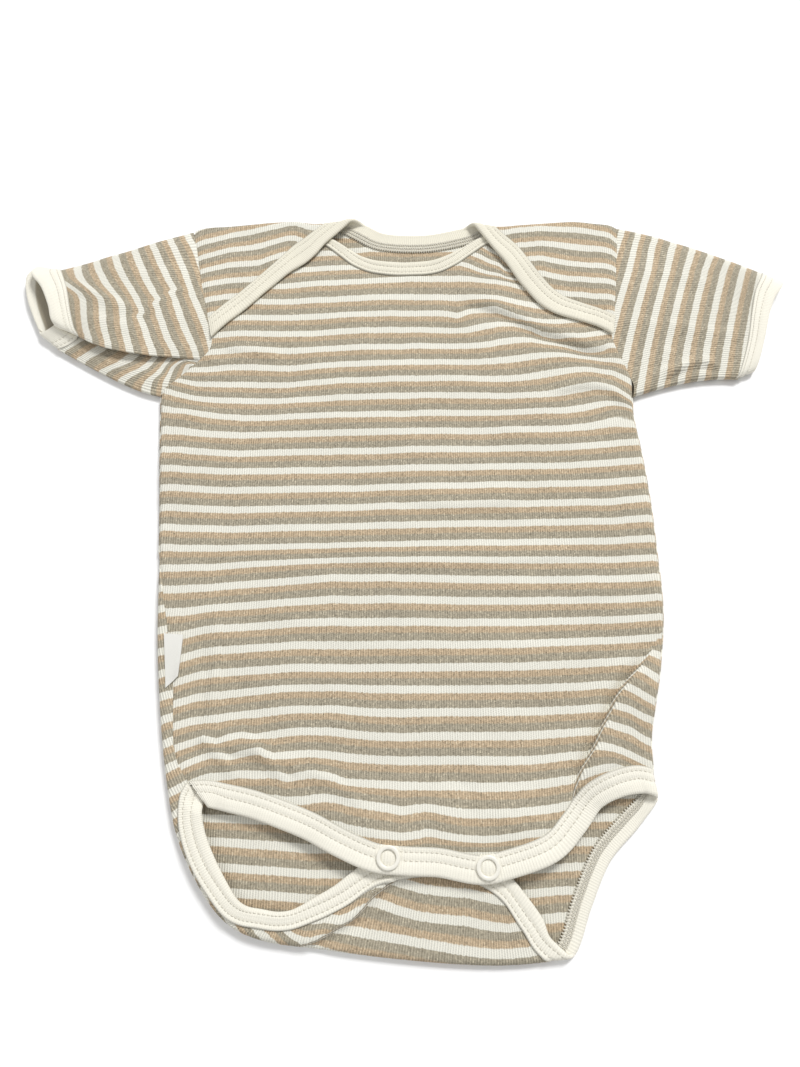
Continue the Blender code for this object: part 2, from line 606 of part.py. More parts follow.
def down_armhole(rows, share):
    """Points on an armhole, by their share of the way from the shoulder to the underarm."""
    line = curve(rows if rows[0][1] > rows[-1][1] else rows[::-1])
    at = np.clip(share, 0, 1) * (len(line) - 1)
    return np.column_stack([np.interp(at, np.arange(len(line)), column) for column in line.T])


def make_sleeve(side, armhole_rows, rows, outward):
    """A sleeve and its cuff: tubes whose rings run over the top and back below."""
    around = np.linspace(0, len(rows), RING_POINTS, endpoint=False)

    def ring(columns):
        return spline(columns, around, closed=True)

    start = ring([(row.share, row.height) for row in rows])
    from_armhole = np.column_stack([down_armhole(armhole_rows, start[:, 0]), start[:, 1]])
    middle, cuff, mouth = (
        ring([row.middle for row in rows]), ring([row.cuff for row in rows]), ring([row.mouth for row in rows])
    )

    def along(share):
        place = (
            from_armhole * (1 - share) * (1 - 2 * share)
            + middle * 4 * share * (1 - share)
            + cuff * share * (2 * share - 1)
        )
        place[:, 0] += outward * SEAM * (1 - share)
        return place

    def tube(name, stations, half, slot, round_end):
        """A wall of a given thickness to both sides of a run of rings, kept on the surface."""
        stack = np.stack(stations)
        stack[:, :, 2] = np.maximum(stack[:, :, 2] + half - FLOOR, half)
        around_way = np.roll(stack, -1, axis=1) - np.roll(stack, 1, axis=1)
        along_way = np.gradient(stack, axis=0)
        normal = unit(np.cross(around_way, along_way)) * outward
        thick = np.full(len(stack), half)
        if round_end:
            thick[-1] *= 0.5
        outer = stack + normal * thick[:, None, None]
        inner = stack - normal * thick[:, None, None]
        loops = np.concatenate([outer, inner[::-1]])
        return swept(name, list(loops.transpose(1, 0, 2)), slot, closed=True)

    shares = np.linspace(0, 1, SLEEVE_STATIONS)
    tube(f"sleeve_{side}", [along(share) for share in shares], CLOTH / 2, "striped_rib", False)
    width = np.linalg.norm(mouth - cuff, axis=1).mean()
    steps = (CUFF_GAP / width, 0.5, 1 - 1.0 / width, 1.0)
    tube(
        f"cuff_binding_{side}", [cuff + (mouth - cuff) * step for step in steps], BINDING / 2,
        "cream_rib", True,
    )


# ---- Snaps and label -------------------------------------------------------------------------


def turned_trim(name, centre, low, thickness, outer, inner=0.0):
    """A round snap part lying flat: a ring, or a solid disc where the inner radius is nothing."""
    bevel, high = SNAP_BEVEL, thickness
    profile = [(outer - bevel, 0), (outer, bevel), (outer, high - bevel), (outer - bevel, high)]
    if inner:
        profile += [(inner + bevel, high), (inner, high - bevel), (inner, bevel), (inner + bevel, 0)]
    angles = np.linspace(0, 2 * math.pi, SNAP_SIDES, endpoint=False)
    rings = [np.array([(r * math.cos(angle), r * math.sin(angle), z) for r, z in profile]) for angle in angles]
    if inner:
        trim = swept(name, rings, "snap_enamel", closed=True)
    else:
        trim = swept(name, list(np.stack(rings, axis=1)), "snap_enamel")
    trim.location = (centre[0] * MM, centre[1] * MM, low * MM)


def make_snaps():
    for side, centre in SNAPS.items():
        plan = np.array([centre])
        front = float(front_height(plan)[0]) + BINDING / 2 - FLOOR
        flap = float(turned_up_height(plan)[0]) + BINDING / 2 - FLOOR
        between = flap + BINDING / 2
        core = front - BINDING / 2 - between - 2 * SNAP_GAP
        top = front + BINDING / 2 + SNAP_GAP
        behind = flap - BINDING / 2 - SNAP_GAP - SNAP_RING
        turned_trim(f"snap_ring_{side}", centre, top, SNAP_RING, SNAP_OUTER, SNAP_HOLE)
        turned_trim(f"snap_core_{side}", centre, between + SNAP_GAP, core, SNAP_CORE)
        turned_trim(f"snap_back_{side}", centre, behind, SNAP_RING, SNAP_BACK, SNAP_HOLE)


def make_label():
    """The side label: a folded tape that lies on the front beside the seam."""
    corners = np.array(LABEL_CORNERS)
    across, along = 3, 6
    u, v = np.meshgrid(np.linspace(0, 1, across + 1), np.linspace(0, 1, along + 1))
    u, v = u.reshape(-1, 1), v.reshape(-1, 1)
    top = corners[0] * (1 - u) + corners[1] * u
    bottom = corners[3] * (1 - u) + corners[2] * u
    plan = top * (1 - v) + bottom * v
    lift = front_height(plan) + CLOTH / 2 + SEAM + LABEL / 2
    middle = np.column_stack([plan, lift])
    grid = middle.reshape(along + 1, across + 1, 3)
    rings = [np.vstack([row + (0, 0, LABEL / 2), row[::-1] - (0, 0, LABEL / 2)]) for row in grid]
    swept("side_label", rings, "label_tape")


def main():
    for old in list(bpy.data.objects):
        bpy.data.objects.remove(old)
    make_front()
    make_back()
    make_sleeve("right", RIGHT_ARMHOLE, RIGHT_SLEEVE, 1)
    make_sleeve("left", LEFT_ARMHOLE, LEFT_SLEEVE, -1)
    make_snaps()
    make_label()


main()
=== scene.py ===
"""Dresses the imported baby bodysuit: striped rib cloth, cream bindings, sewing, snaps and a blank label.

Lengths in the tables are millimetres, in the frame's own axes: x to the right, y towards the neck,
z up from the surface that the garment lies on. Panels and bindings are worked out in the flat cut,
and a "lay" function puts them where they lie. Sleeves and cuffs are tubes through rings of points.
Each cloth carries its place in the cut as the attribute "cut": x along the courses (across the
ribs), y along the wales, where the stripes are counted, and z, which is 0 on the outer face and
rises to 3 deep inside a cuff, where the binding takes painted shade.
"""

import math
from collections import namedtuple

import bmesh
import bpy
import numpy as np
from mathutils.geometry import delaunay_2d_cdt
from mathutils.kdtree import KDTree
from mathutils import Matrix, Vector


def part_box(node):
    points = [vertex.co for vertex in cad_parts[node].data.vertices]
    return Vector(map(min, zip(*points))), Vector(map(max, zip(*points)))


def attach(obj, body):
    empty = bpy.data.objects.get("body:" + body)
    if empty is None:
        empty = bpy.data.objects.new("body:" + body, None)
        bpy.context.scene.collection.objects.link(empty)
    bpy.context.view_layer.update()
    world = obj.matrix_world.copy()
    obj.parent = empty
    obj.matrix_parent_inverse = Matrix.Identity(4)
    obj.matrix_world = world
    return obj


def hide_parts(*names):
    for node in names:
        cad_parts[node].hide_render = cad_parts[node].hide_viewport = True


bl_info = {
    "name": "Striped Baby Bodysuit",
    "version": (1, 0, 0),
    "blender": (4, 5, 0),
    "location": "3D View > Sidebar > Bodysuit",
    "description": "Dresses the packed bodysuit with rib cloth, bindings, sewing, snaps and a label",
    "category": "Object",
}

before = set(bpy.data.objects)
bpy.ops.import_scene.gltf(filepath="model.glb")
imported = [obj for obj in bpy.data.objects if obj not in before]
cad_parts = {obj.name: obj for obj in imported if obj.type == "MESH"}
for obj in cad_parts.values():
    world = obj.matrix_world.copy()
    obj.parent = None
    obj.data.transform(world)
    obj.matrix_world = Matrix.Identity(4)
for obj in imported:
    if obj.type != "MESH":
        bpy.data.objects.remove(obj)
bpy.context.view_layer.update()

MM = 0.001

# Thicknesses, heights and the snaps' places
CLOTH = 1.1  # how thick the striped cloth is
BINDING = 1.9  # how thick a folded strip is, about
BINDING_WIDTH = 11.0
FLOOR = CLOTH / 2  # the middle of cloth that lies on the surface
TOP = 4.55  # the middle of the front
NECK_DROP = 0.9  # how much lower the front lies at the neck
LAP_RISE = 1.5  # how far a lap lies over the front
LAP_LOFT = 0.9  # how much farther it does near the shoulder
FLAP_DROP = 1.5  # how much lower the turned-up flap lies
CROTCH_RISE = 2.2  # how far the flap lifts the front
CORNER_DROP = 2.1  # how much lower the corner under the front's end lies
FRONT_WAVES = 0.75  # sizes of the waves in front and at the back
BACK_WAVES = 0.15
SEAM_DIP = 0.38  # how far a panel dips at a seam and at a binding
BOUND_DIP = 0.25
BOUND_THIN = 0.3  # the share of its thickness that it loses in a binding
ARMHOLE_DIP = 0.30  # how far a sleeve dips at its armhole
SHOULDER_RISE = (140, 165)  # from where and to where on y the cloth climbs to the shoulders
SHOULDER_CUT = 130  # the cut above this y goes over the shoulders
RIGHT_CUT = (70, -140)  # the cut beyond this x and above this y goes round the right side
SNAP_OUTER = 4.8  # outer and inner radius of a ring
SNAP_HOLE = 3.1
SNAPS = {"left": (-7.7, -137.6), "right": (32.1, -141.3)}

# Meshes and sewing
PANEL_STEP = 1.8  # between the points of a panel
EDGE_STEP = 1.6  # between the points of a panel's outline
FOLD_STEP = 2.2  # between the points along a fold
BOUND_STEP = 0.8  # between the points of a bound edge
FOLD_TURNS = 10  # rows of points round a fold
SLEEVE_AROUND = 200
SLEEVE_ALONG = 52
HIDE = 1.6  # how far the cloth runs on into a binding
RIM = 1.6  # how far a binding's rounded rim reaches in
SEWN_EDGE = 0.45  # how far a binding's sewn edge and its outer face stand over its middle
OUTER_FACE = 0.80
PUFF = 0.28  # how much higher the outer face is towards the rim
ROW_DIP = 0.30  # how far a row of stitches pulls it down
INNER_FACE = 0.95  # how far the inner face lies under the middle
STITCH_ROWS = (2.1, 5.4)  # rows of stitches, from a binding's sewn edge
STITCH_ROOM = 1.5  # room that a row needs, across and at a binding's ends
STITCH_LENGTH = 2.1
STITCH_START = 0.12  # where in its length a stitch comes up
STITCH_GAP = 0.35  # from where it goes down to the next one
STITCH_LIFT = 0.02
STITCH_THREAD = 0.42  # thicknesses of the threads in front and behind
COVER_THREAD = 0.5
COVER_PITCH = 1.25

# The repeat of the stripes: where each colour holds, in shares of a repeat
REPEAT = 10.0  # from one cream stripe to the next in the stripe coordinate
CREAM_AT = 4.2  # the stripe coordinate in the middle of a cream stripe
CREAM_MIDDLE = 0.185  # and the share there
STRIPES = (
    (0.0, "stone"), (0.035, "cream"), (0.345, "cream"), (0.395, "tan"), (0.63, "tan"), (0.71, "stone"),
    (1.0, "stone"),
)

# The lines that the cloth folds on, and its edges
LEFT_AND_BOTTOM = (  # x, y, radius
    (-123.2, 84, 2.0), (-119.8, 46, 2.0), (-116.0, 9, 2.0), (-112.9, -25, 2.0), (-110.4, -52, 2.0),
    (-105.6, -84, 2.0), (-100.4, -109, 2.0), (-94.5, -129, 1.9), (-84.7, -147.0, 1.8),
    (-72.3, -161.2, 1.7), (-57.0, -167.9, 1.5), (-35.0, -170.9, 1.3), (-8.0, -174.0, 1.25),
    (20.0, -176.2, 1.25), (40.0, -176.5, 1.3), (60.0, -174.8, 1.5), (90.0, -171.0, 1.6),
)
RIGHT_SIDE = (  # x, y, radius: up the right side
    (112.0, -135, 2.0), (107.0, -122, 2.0), (104.4, -113, 2.0), (103.6, -104, 2.0), (104.2, -90, 2.0),
    (107.3, -76.5, 2.0), (112.3, -56, 2.0), (115.6, -34, 2.0), (116.2, -5, 2.0), (115.9, 20, 2.0),
    (114.4, 46, 2.0), (112.7, 66, 2.0), (114.0, 82, 2.0),
)
SHOULDERS = (  # x, y, radius: from the right sleeve to the left one
    (125.0, 178, 2.3), (114.6, 180.0, 2.3), (108.9, 182.0, 2.4), (89.9, 183.8, 2.4), (62.4, 181.6, 2.4),
    (50.0, 180.8, 2.4), (40.0, 182.5, 2.4), (20.0, 186.0, 2.4), (-12.0, 187.0, 2.4), (-28.0, 185.4, 2.4),
    (-38.0, 183.6, 2.4), (-50.0, 182.6, 2.4), (-63.1, 184.3, 2.4), (-84.8, 182.0, 2.4),
    (-106.5, 179.7, 2.4), (-115.3, 177.5, 2.3), (-125.0, 174, 2.3),
)
SIDE_SEAM = (  # y, how far round the left fold the side seam lies from its underside
    (90, 3.14), (0, 3.14), (-15, 4.2), (-30, 6.4), (-40, 8.4), (-57, 9.8), (-70, 10.4), (-83, 9.4),
    (-94, 8.6), (-102, 9.6), (-110, 12.9),
)
RIGHT_ARMHOLE = (  # x, y: up
    (113.7, 76.6), (114.2, 81.9), (112.4, 87.8), (109.4, 96.8), (106.9, 104.4), (105.8, 110.5),
    (107.6, 121.4), (110.7, 143.9), (112.2, 157.1), (113.6, 168.9), (114.2, 179.5),
)
LEFT_ARMHOLE = (  # x, y: down
    (-115.0, 177.0), (-112.1, 166.1), (-107.2, 142.2), (-101.8, 119.3), (-99.4, 108.1), (-100.4, 101.5),
    (-107.5, 92.6), (-114.6, 85.0), (-120.6, 79.4), (-122.4, 77.0),
)
FRONT_NECK = (  # x, y, binding's width: from the right armhole to the left one, mostly under the laps
    (113.4, 169.5, 5.0), (80.0, 171.0, 5.0), (56.0, 171.0, 5.0), (45.0, 169.5, 5.5), (34.6, 161.6, 7.0),
    (26.4, 155.0, 8.0), (15.6, 149.8, 8.8), (-0.3, 147.9, 9.0), (-16.3, 149.8, 8.8), (-27.0, 154.4, 8.0),
    (-35.2, 161.0, 7.0), (-45.0, 169.2, 5.5), (-56.0, 171.0, 5.0), (-80.0, 171.0, 5.0),
    (-112.6, 169.5, 5.0),
)
BACK_NECK = (  # what it lies on, x and y: laps and back neck, from the right tip to the left one
    ("lap", (
        (107.9, 121.6), (100.4, 126.0), (90.4, 129.7), (80.4, 135.3), (71.1, 146.8), (60.6, 164.7),
        (49.9, 177.3),
    )),
    ("floor", ((40.6, 175.3), (28.8, 170.3), (9.4, 166.6), (-13.8, 168.0), (-28.1, 175.6))),
    ("lap", (
        (-47.8, 177.7), (-56.7, 169.7), (-66.8, 158.5), (-76.7, 147.4), (-86.5, 136.6), (-93.8, 129.1),
        (-101.9, 119.6),
    )),
)
LAP_TIPS = ((105.9, 110.6), (-99.3, 108.6))  # the right one and the left one
FRONT_LEGS = (  # x, y: from the left side seam, along the leg and crotch edges, to the right one
    (-90.7, -108.1), (-82.8, -107.8), (-75.7, -109.0), (-62.7, -111.8), (-49.7, -116.1),
    (-37.2, -120.9), (-24.5, -127.2), (-11.9, -132.2), (0.0, -133.4), (13.5, -134.0), (28.3, -136.6),
    (37.9, -135.1), (54.7, -129.5), (63.7, -121.1), (72.9, -110.2), (84.6, -104.2), (95.6, -101.8),
    (104.3, -103.4),
)
FRONT_LEG_ENDS = ((-82.0, -118.6), (105.2, -114.6))
BACK_LEGS = (  # what it lies on, x and y: the left leg, the flap's end and the right leg
    ("turned", (
        (-92.0, -108.8), (-93.9, -113.5), (-94.2, -120.0), (-92.0, -130.5), (-85.4, -143.8),
        (-75.8, -155.9), (-61.2, -163.1), (-43.6, -163.4), (-26.2, -156.5), (-11.8, -148.1), (2.0, -145.2),
        (16.0, -145.2), (27.0, -147.2), (36.9, -153.0), (44.4, -163.4), (50.1, -172.0),
    )),
    ("floor", (
        (60.7, -167.2), (66.5, -152.9), (76.0, -134.8), (88.6, -121.6), (97.4, -113.7), (104.2, -105.6),
    )),
)
BACK_LEG_WIDTHS = (
    11, 10.6, 10.0, 10.0, 9.8, 8.4, 7.2, 7.2, 9.0, 10.4, 11, 11, 11, 11, 10.6, 8.2, 7.4, 7.7, 7.9, 8.1,
    8.1, 8.0,
)
BACK_LEG_ENDS = (("turned", ((-82.6, -113.4),)), ("floor", ((104.8, -115.6),)))
LABEL_LIFT = 0.45  # the middle of the label over the cloth, and half its thickness
LABEL_HALF = 0.32
LABEL_CORNERS = ((-107.4, -45.6), (-98.9, -46.2), (-99.3, -64.6), (-104.4, -69.6))

# Creases of the top: height, reach on the steep side, reach on the gentle side and the line, with
# the gentle side on its right
Crease = namedtuple("Crease", "rise before after path")
HIP = (
    (67.5, -119), (69.5, -112), (72.5, -105), (76, -99.5), (79.5, -94), (83, -87), (86, -82), (90, -74.5),
    (94.5, -68.5), (99, -63.5), (104, -58), (109, -51),
)
CHEST = (
    (112, 104), (95, 103.6), (86, 106.5), (77, 110.5), (68, 114.5), (60, 119.5), (50, 126), (36, 131),
    (24, 132),
)
CREASES = (
    Crease(1.6, 14.0, 26.0, HIP),
    Crease(2.6, 1.0, 22.0, HIP),
    Crease(-3.2, 0.5, 6.0, tuple(reversed(HIP))),
    Crease(-0.8, 0.5, 18.0, tuple(reversed(HIP))),
    Crease(2.0, 3.6, 16.0, CHEST),
    Crease(-1.3, 3.0, 11.0, tuple((x, y - 2.5) for x, y in reversed(CHEST))),
    Crease(1.6, 2.5, 9.0, ((109.5, 66), (105.7, 74), (98.6, 79.8), (86.0, 80.5), (70.0, 76.0))),
    Crease(1.2, 3.0, 8.0, ((-40, -107), (-56, -99.5), (-70, -95.5), (-88, -92))),
    Crease(1.0, 4.0, 9.0, ((-84, -30), (-83, -60), (-86, -84))),
    Crease(-0.8, 1.6, 5.0, ((-86.5, -52), (-86, -66), (-87, -80), (-89, -96))),
    Crease(1.0, 6.0, 12.0, ((60, 22), (30, 17), (-5, 20))),
    Crease(1.1, 4.0, 9.0, ((-60, 96), (-76, 100), (-94, 104))),
    # Softer ones
    Crease(0.8, 4.0, 12.0, ((100, -6), (60, -10), (10, -13), (-50, -9))),
    Crease(1.4, 1.8, 5.5, ((-90, -88), (-85, -91), (-80, -96), (-75, -101), (-71, -108))),
    Crease(1.6, 1.8, 6.0, ((-70, -88), (-64, -92.5), (-59, -98), (-53, -104), (-48, -112))),
    Crease(1.2, 2.0, 6.5, ((-44, -103), (-34, -106), (-27, -110), (-16, -118))),
    Crease(-0.6, 4.0, 7.0, ((-96, -99), (-84, -93), (-74, -88))),
    Crease(0.6, 5.0, 9.0, ((36, -128), (42, -112), (46, -96))),
    Crease(0.7, 5.0, 9.0, ((12, -130), (14, -112), (12, -98))),
    Crease(-0.6, 5.0, 7.0, ((24, -132), (26, -118), (24, -104))),
    Crease(0.8, 2.5, 6.0, ((-108, 88), (-96, 86), (-82, 90))),
    Crease(0.7, 2.5, 5.0, ((-103, 98), (-92, 95), (-78, 99))),
    Crease(0.5, 4.0, 8.0, ((-116, 62), (-104, 66), (-90, 64))),
    Crease(0.5, 4.0, 8.0, ((-117, 40), (-104, 46), (-92, 46))),
    Crease(0.5, 6.0, 12.0, ((-44, 66), (-20, 58), (10, 60))),
    Crease(0.5, 6.0, 12.0, ((40, 60), (66, 52), (90, 56))),
    Crease(0.5, 7.0, 14.0, ((-70, -30), (-40, -42), (-10, -40))),
    Crease(0.5, 7.0, 14.0, ((20, -62), (50, -52), (78, -58))),
    Crease(0.6, 4.0, 9.0, ((104, -20), (92, -26), (74, -26))),
    Crease(0.5, 5.0, 10.0, ((-30, 128), (-20, 112), (-26, 96))),
)
# Where the rolled strip beside the left leg's binding ends, and the flap lies lower
FLAP_EDGE = (
    (4, -143.5), (-4, -145.8), (-9.5, -148.6), (-14.5, -152.6), (-18, -156.6), (-22.5, -160.4),
    (-28, -163.4), (-33, -166.2), (-39, -168.6), (-48, -170.2),
)
FLAP_CREASES = (Crease(2.3, 1.2, 4.4, FLAP_EDGE), Crease(-1.2, 0.8, 8.0, tuple(reversed(FLAP_EDGE))))
# Soft troughs of the hidden back, lifted off the surface
BACK_CREASES = (
    Crease(1.0, 7.0, 11.0, ((-70, 130), (-40, 112), (10, 108), (60, 118))),
    Crease(0.9, 6.0, 10.0, ((-84, 60), (-50, 72), (-10, 66))),
    Crease(1.1, 7.0, 12.0, ((20, 40), (50, 52), (90, 46))),
    Crease(0.9, 7.0, 12.0, ((-92, 6), (-60, -4), (-20, 4), (20, -4))),
    Crease(1.1, 6.0, 12.0, ((88, -14), (60, -30), (30, -60), (20, -84))),
    Crease(1.0, 6.0, 10.0, ((-86, -50), (-60, -64), (-40, -92))),
    Crease(0.8, 6.0, 10.0, ((-20, -60), (0, -84), (4, -112))),
    Crease(0.7, 5.0, 9.0, ((60, -80), (66, -100), (60, -118))),
)

# Where the middles of the cream stripes run on the front: the first one's stripe coordinate, then x
# and y of each, from the top one down
CHEST_LINES = (164.2, (
    ((-40, 163), (0, 164.2), (30, 164.5), (36.5, 162.5), (45, 157.5), (50, 155), (60, 150), (116, 146)),
    (
        (-116, 147), (-60, 151.4), (0, 156.2), (26, 156.6), (31, 155.5), (40, 151), (50, 148), (60, 145),
        (116, 138),
    ),
    (
        (-116, 138.6), (-85, 141.6), (-60, 141.6), (-30, 144), (0, 146), (30, 146.2), (40, 145.5),
        (50, 144.2), (57, 142.6), (67, 139.5), (116, 132),
    ),
    (
        (-116, 129), (-85, 131.6), (-60, 131.4), (-30, 133), (0, 134.2), (30, 134.1), (40, 133.2),
        (50, 131.7), (60, 129.7), (77, 128), (116, 126),
    ),
    (
        (-116, 119), (-85, 121.6), (-60, 121.4), (-30, 123), (0, 124.2), (20, 124.2), (27, 122.8),
        (31, 125.2), (36, 126.9), (45, 127), (50, 125.1), (55, 122), (60, 119.4), (65, 118.2), (70, 117.8),
        (80, 118.2), (90, 120), (116, 124),
    ),
    (
        (-116, 109), (-85, 111.6), (-60, 111.4), (-30, 113), (0, 114.2), (30, 114), (36, 115), (45, 117.3),
        (50, 118.2), (57, 118), (62, 116.2), (66, 114), (70, 111.4), (75, 109.7), (80, 108.6), (90, 108.8),
        (100, 111.7), (116, 115),
    ),
    (
        (-116, 99), (-85, 101.6), (-60, 101.4), (-30, 103), (0, 104.4), (30, 104.4), (40, 104.8),
        (50, 107), (60, 108.3), (65, 108.3), (70, 107), (80, 104.9), (90, 102), (95, 101.4), (100, 102.4),
        (104, 104.4), (116, 106),
    ),
    (
        (-116, 90), (-100, 90), (-85, 91.6), (-60, 91.4), (-30, 93.4), (10, 94.9), (30, 94.7), (40, 95.2),
        (50, 95.9), (60, 97.6), (70, 98.8), (80, 99), (90, 98.1), (100, 96.3), (107, 95.6), (116, 94),
    ),
    (
        (-122, 87), (-110, 83), (-100, 81.5), (-85, 81.6), (-60, 81.8), (-30, 84), (10, 85.1), (40, 85),
        (50, 85.3), (60, 85.9), (70, 87.6), (80, 89.4), (90, 90.6), (100, 89.4), (105, 88.3), (113, 83.3),
        (118, 78),
    ),
    (
        (-122, 79), (-110, 75), (-100, 73), (-85, 72.4), (-60, 72.8), (-30, 74.4), (10, 75.4), (60, 75.4),
        (70, 75.9), (80, 77.8), (90, 79.9), (95, 80.6), (100, 79.8), (105, 77.8), (110, 74.4), (116, 70),
    ),
    (
        (-122, 68.6), (-116, 67.2), (-106, 65.6), (-96, 64), (-80, 62.7), (-27, 64.5), (22, 65.5),
        (51, 66.1), (80, 67.2), (92, 69.6), (100, 71.2), (106, 70.8), (112, 68.6), (118, 66),
    ),
))
LOW_LINES = (-65.8, (
    (
        (-106, -68.4), (-99, -66.7), (-95, -65.2), (-90, -63.9), (-80, -62.8), (-70, -61.7), (-50, -60.6),
        (-10, -60.4), (20, -60.4), (50, -60.1), (70, -59.1), (90, -58.3), (103, -57.5), (116, -56),
    ),
    (
        (-106, -78), (-99, -75.9), (-95, -74.8), (-90, -73.3), (-80, -72.4), (-70, -71.4), (-60, -70.3),
        (-50, -69.6), (-30, -69.2), (-10, -70), (20, -70), (50, -69.7), (70, -69), (90, -67.7), (110, -66),
    ),
    (
        (-106, -88), (-99, -85.8), (-95, -84.4), (-90, -83.3), (-84, -82.8), (-80, -82.3), (-70, -80.9),
        (-60, -79.9), (-50, -78.9), (-40, -78.6), (-30, -78.7), (-10, -80.1), (20, -79.8), (50, -79.6),
        (70, -78.7), (90, -77.6), (110, -76),
    ),
    (
        (-104, -97), (-99, -95.3), (-95, -93.9), (-90, -92.2), (-86, -91.1), (-83, -92), (-80, -92.2),
        (-75, -90.4), (-70, -89.6), (-65, -90.6), (-60, -89.8), (-50, -88.2), (-40, -87.8), (-30, -88.2),
        (-10, -90.1), (20, -89.8), (50, -89.6), (70, -88.3), (90, -87), (110, -86),
    ),
    (
        (-102, -107), (-98, -104.7), (-95, -102.4), (-90, -100), (-85, -98.2), (-82, -97.4), (-78, -97.9),
        (-75, -98.6), (-70, -97.3), (-65, -95.9), (-62, -95.8), (-60, -96.9), (-56, -98.4), (-50, -97.8),
        (-40, -97.2), (-30, -98), (-10, -99.6), (20, -99.6), (50, -99.8), (70, -97.8), (90, -96),
        (110, -95),
    ),
    (
        (-100, -116), (-92, -110), (-85, -107.2), (-80, -106.3), (-75, -105.7), (-70, -105.2),
        (-62, -105.6), (-57, -105.1), (-53, -105.8), (-50, -106.9), (-45, -106), (-40, -105.3),
        (-35, -106), (-30, -107.2), (-27, -108.5), (-20, -109.1), (-10, -109.6), (8, -110.4), (22, -110),
        (34, -110.6), (50, -109.8), (70, -107.2), (90, -105), (110, -104),
    ),
    (
        (-96, -124), (-84, -118), (-70, -115), (-57, -115), (-50, -115.8), (-42, -115.8), (-38, -114.9),
        (-33, -114.7), (-28, -115.3), (-20, -116.9), (-10, -118.4), (-2, -119.6), (8, -118.6),
        (20, -120.6), (34, -121), (50, -120.2), (60, -119), (76, -116), (110, -112),
    ),
    (
        (-90, -130), (-60, -126), (-31, -125.4), (-23, -127.1), (-7, -129.6), (2, -129.6), (9, -128.4),
        (20, -130.4), (34, -131.1), (50, -128.7), (60, -128), (110, -124),
    ),
    ((-90, -140), (-30, -137), (110, -136)),
))
HIP_LINES = (-45.8, (
    ((98, -38.5), (110, -38), (120, -38)),
    ((98, -48), (106, -46.6), (112, -45.8), (120, -46)),
    ((94, -52), (104, -52.5), (109, -54.3), (120, -58)),
    ((90, -59), (99, -60.5), (105, -63.5), (108, -65.3), (120, -71)),
    ((86, -68), (92, -69), (98, -71.5), (103, -74.3), (109, -77), (120, -82)),
    ((80, -76), (86, -77), (90, -78), (95, -79.5), (100, -81.7), (108, -84.3), (120, -89)),
    ((76, -84), (82, -84.6), (90, -86.5), (95, -88), (100, -91), (107, -94), (120, -99)),
    (
        (72, -94), (78, -94.2), (85, -95.2), (90, -96.5), (95, -98.5), (100, -100.7), (108, -104.5),
        (120, -110),
    ),
    ((64, -110), (70, -107.6), (75, -105), (82, -103), (89, -103), (100, -108), (120, -118)),
    ((60, -118), (70, -115), (80, -113), (90, -113), (105, -120), (120, -128)),
))
# The rolled strip beside the left leg's binding: cream stripes as lines of the plan
ROLL_LINES = (-165.8, (
    ((-84, -147), (-80, -154), (-76, -161)),
    ((-73, -157.5), (-69.8, -161), (-65.3, -166), (-62, -170)),
    ((-63, -160.5), (-58.9, -164.4), (-52.2, -168.5), (-47, -172)),
    ((-50, -161.5), (-46.7, -165), (-43, -167), (-40, -167.8), (-36.5, -167.4), (-32, -166)),
    (
        (-56, -157), (-44, -159.8), (-38, -160.8), (-32, -160.9), (-27, -160.5), (-22, -158.7),
        (-17.5, -155),
    ),
    ((-34, -151), (-24, -152), (-18, -150), (-12, -147), (-8, -145.6), (2, -144.2)),
    ((-22, -141), (-10, -138), (2, -136)),
))

# How far the stripes have drifted towards the neck: rows of (y, ((x, drift), ...))
FRONT_DRIFT = (
    (64, (
        (-116, 3.5), (-100, 0.5), (-80, -1.5), (-27, 0.5), (20, 1.5), (80, 3.0), (90, 4.5), (100, 6.5),
        (112, 4.5),
    )),
    (52, ((-116, 1.5), (-96, -0.5), (-80, -1.0), (-27, 0.5), (20, 1.5), (80, 2.5), (112, 5.5))),
    (19, ((-112, 1.0), (-82, -0.5), (-8, 1.5), (57, 3.0), (95, 3.5), (112, 5.5))),
    (0, ((-112, 1.0), (-82, 0.0), (-8, 2.0), (57, 3.5), (95, 4.0), (112, 5.5))),
    (-18, ((-110, 1.0), (-90, 1.5), (-35, 6.0), (-8, 6.5), (20, 5.5), (95, 5.5), (112, 6.5))),
    (-60, (
        (-106, -1.5), (-99, -1.0), (-90, 2.0), (-80, 3.0), (-50, 5.0), (50, 5.5), (103, 8.5),
        (116, 10.0),
    )),
)
BACK_DRIFT = (
    (215, (
        (-104, -3.4), (-94, -3.8), (-83, -2.8), (-78, -2.2), (-70, -4.0), (-60, -5.8), (60, -7.0),
        (72, -5.6), (77, -3.3), (82, -1.6), (88, 0.2), (98, 0.8), (105, -0.9),
    )),
    (192, (
        (-104, -2.0), (-94, -3.6), (-83, -3.6), (-70, -4.4), (-60, -5.8), (60, -6.0), (72, -5.0),
        (77, -3.9), (88, -2.0), (105, -2.0),
    )),
    (158, ((-30, -7.0), (-19, -5.4), (0, -6.0), (24, -5.4))),
    (100, ((-110, 0.0), (110, 0.0))),
    (-110, ((-90, 2.0), (-40, 1.6), (60, 2.6))),
    (-135, ((-90, 5.0), (-73, 4.0), (-56, 2.8), (-40, 1.5), (20, 1.2), (61, 3.6), (68, 4.4))),
    (-155, ((-73, 5.4), (-56, 4.2), (-40, 2.9), (20, 2.0), (61, 6.3), (70, 6.3))),
    (-182, ((-60, 5.5), (-26, 5.5), (-11, 4.2), (9, 3.8), (32, 4.6), (50, 5.0))),
    (-192, ((-60, 3.0), (-15, 3.2), (0, 4.7), (9, 4.4), (21, 3.7), (32, 4.9), (41, 6.1))),
)

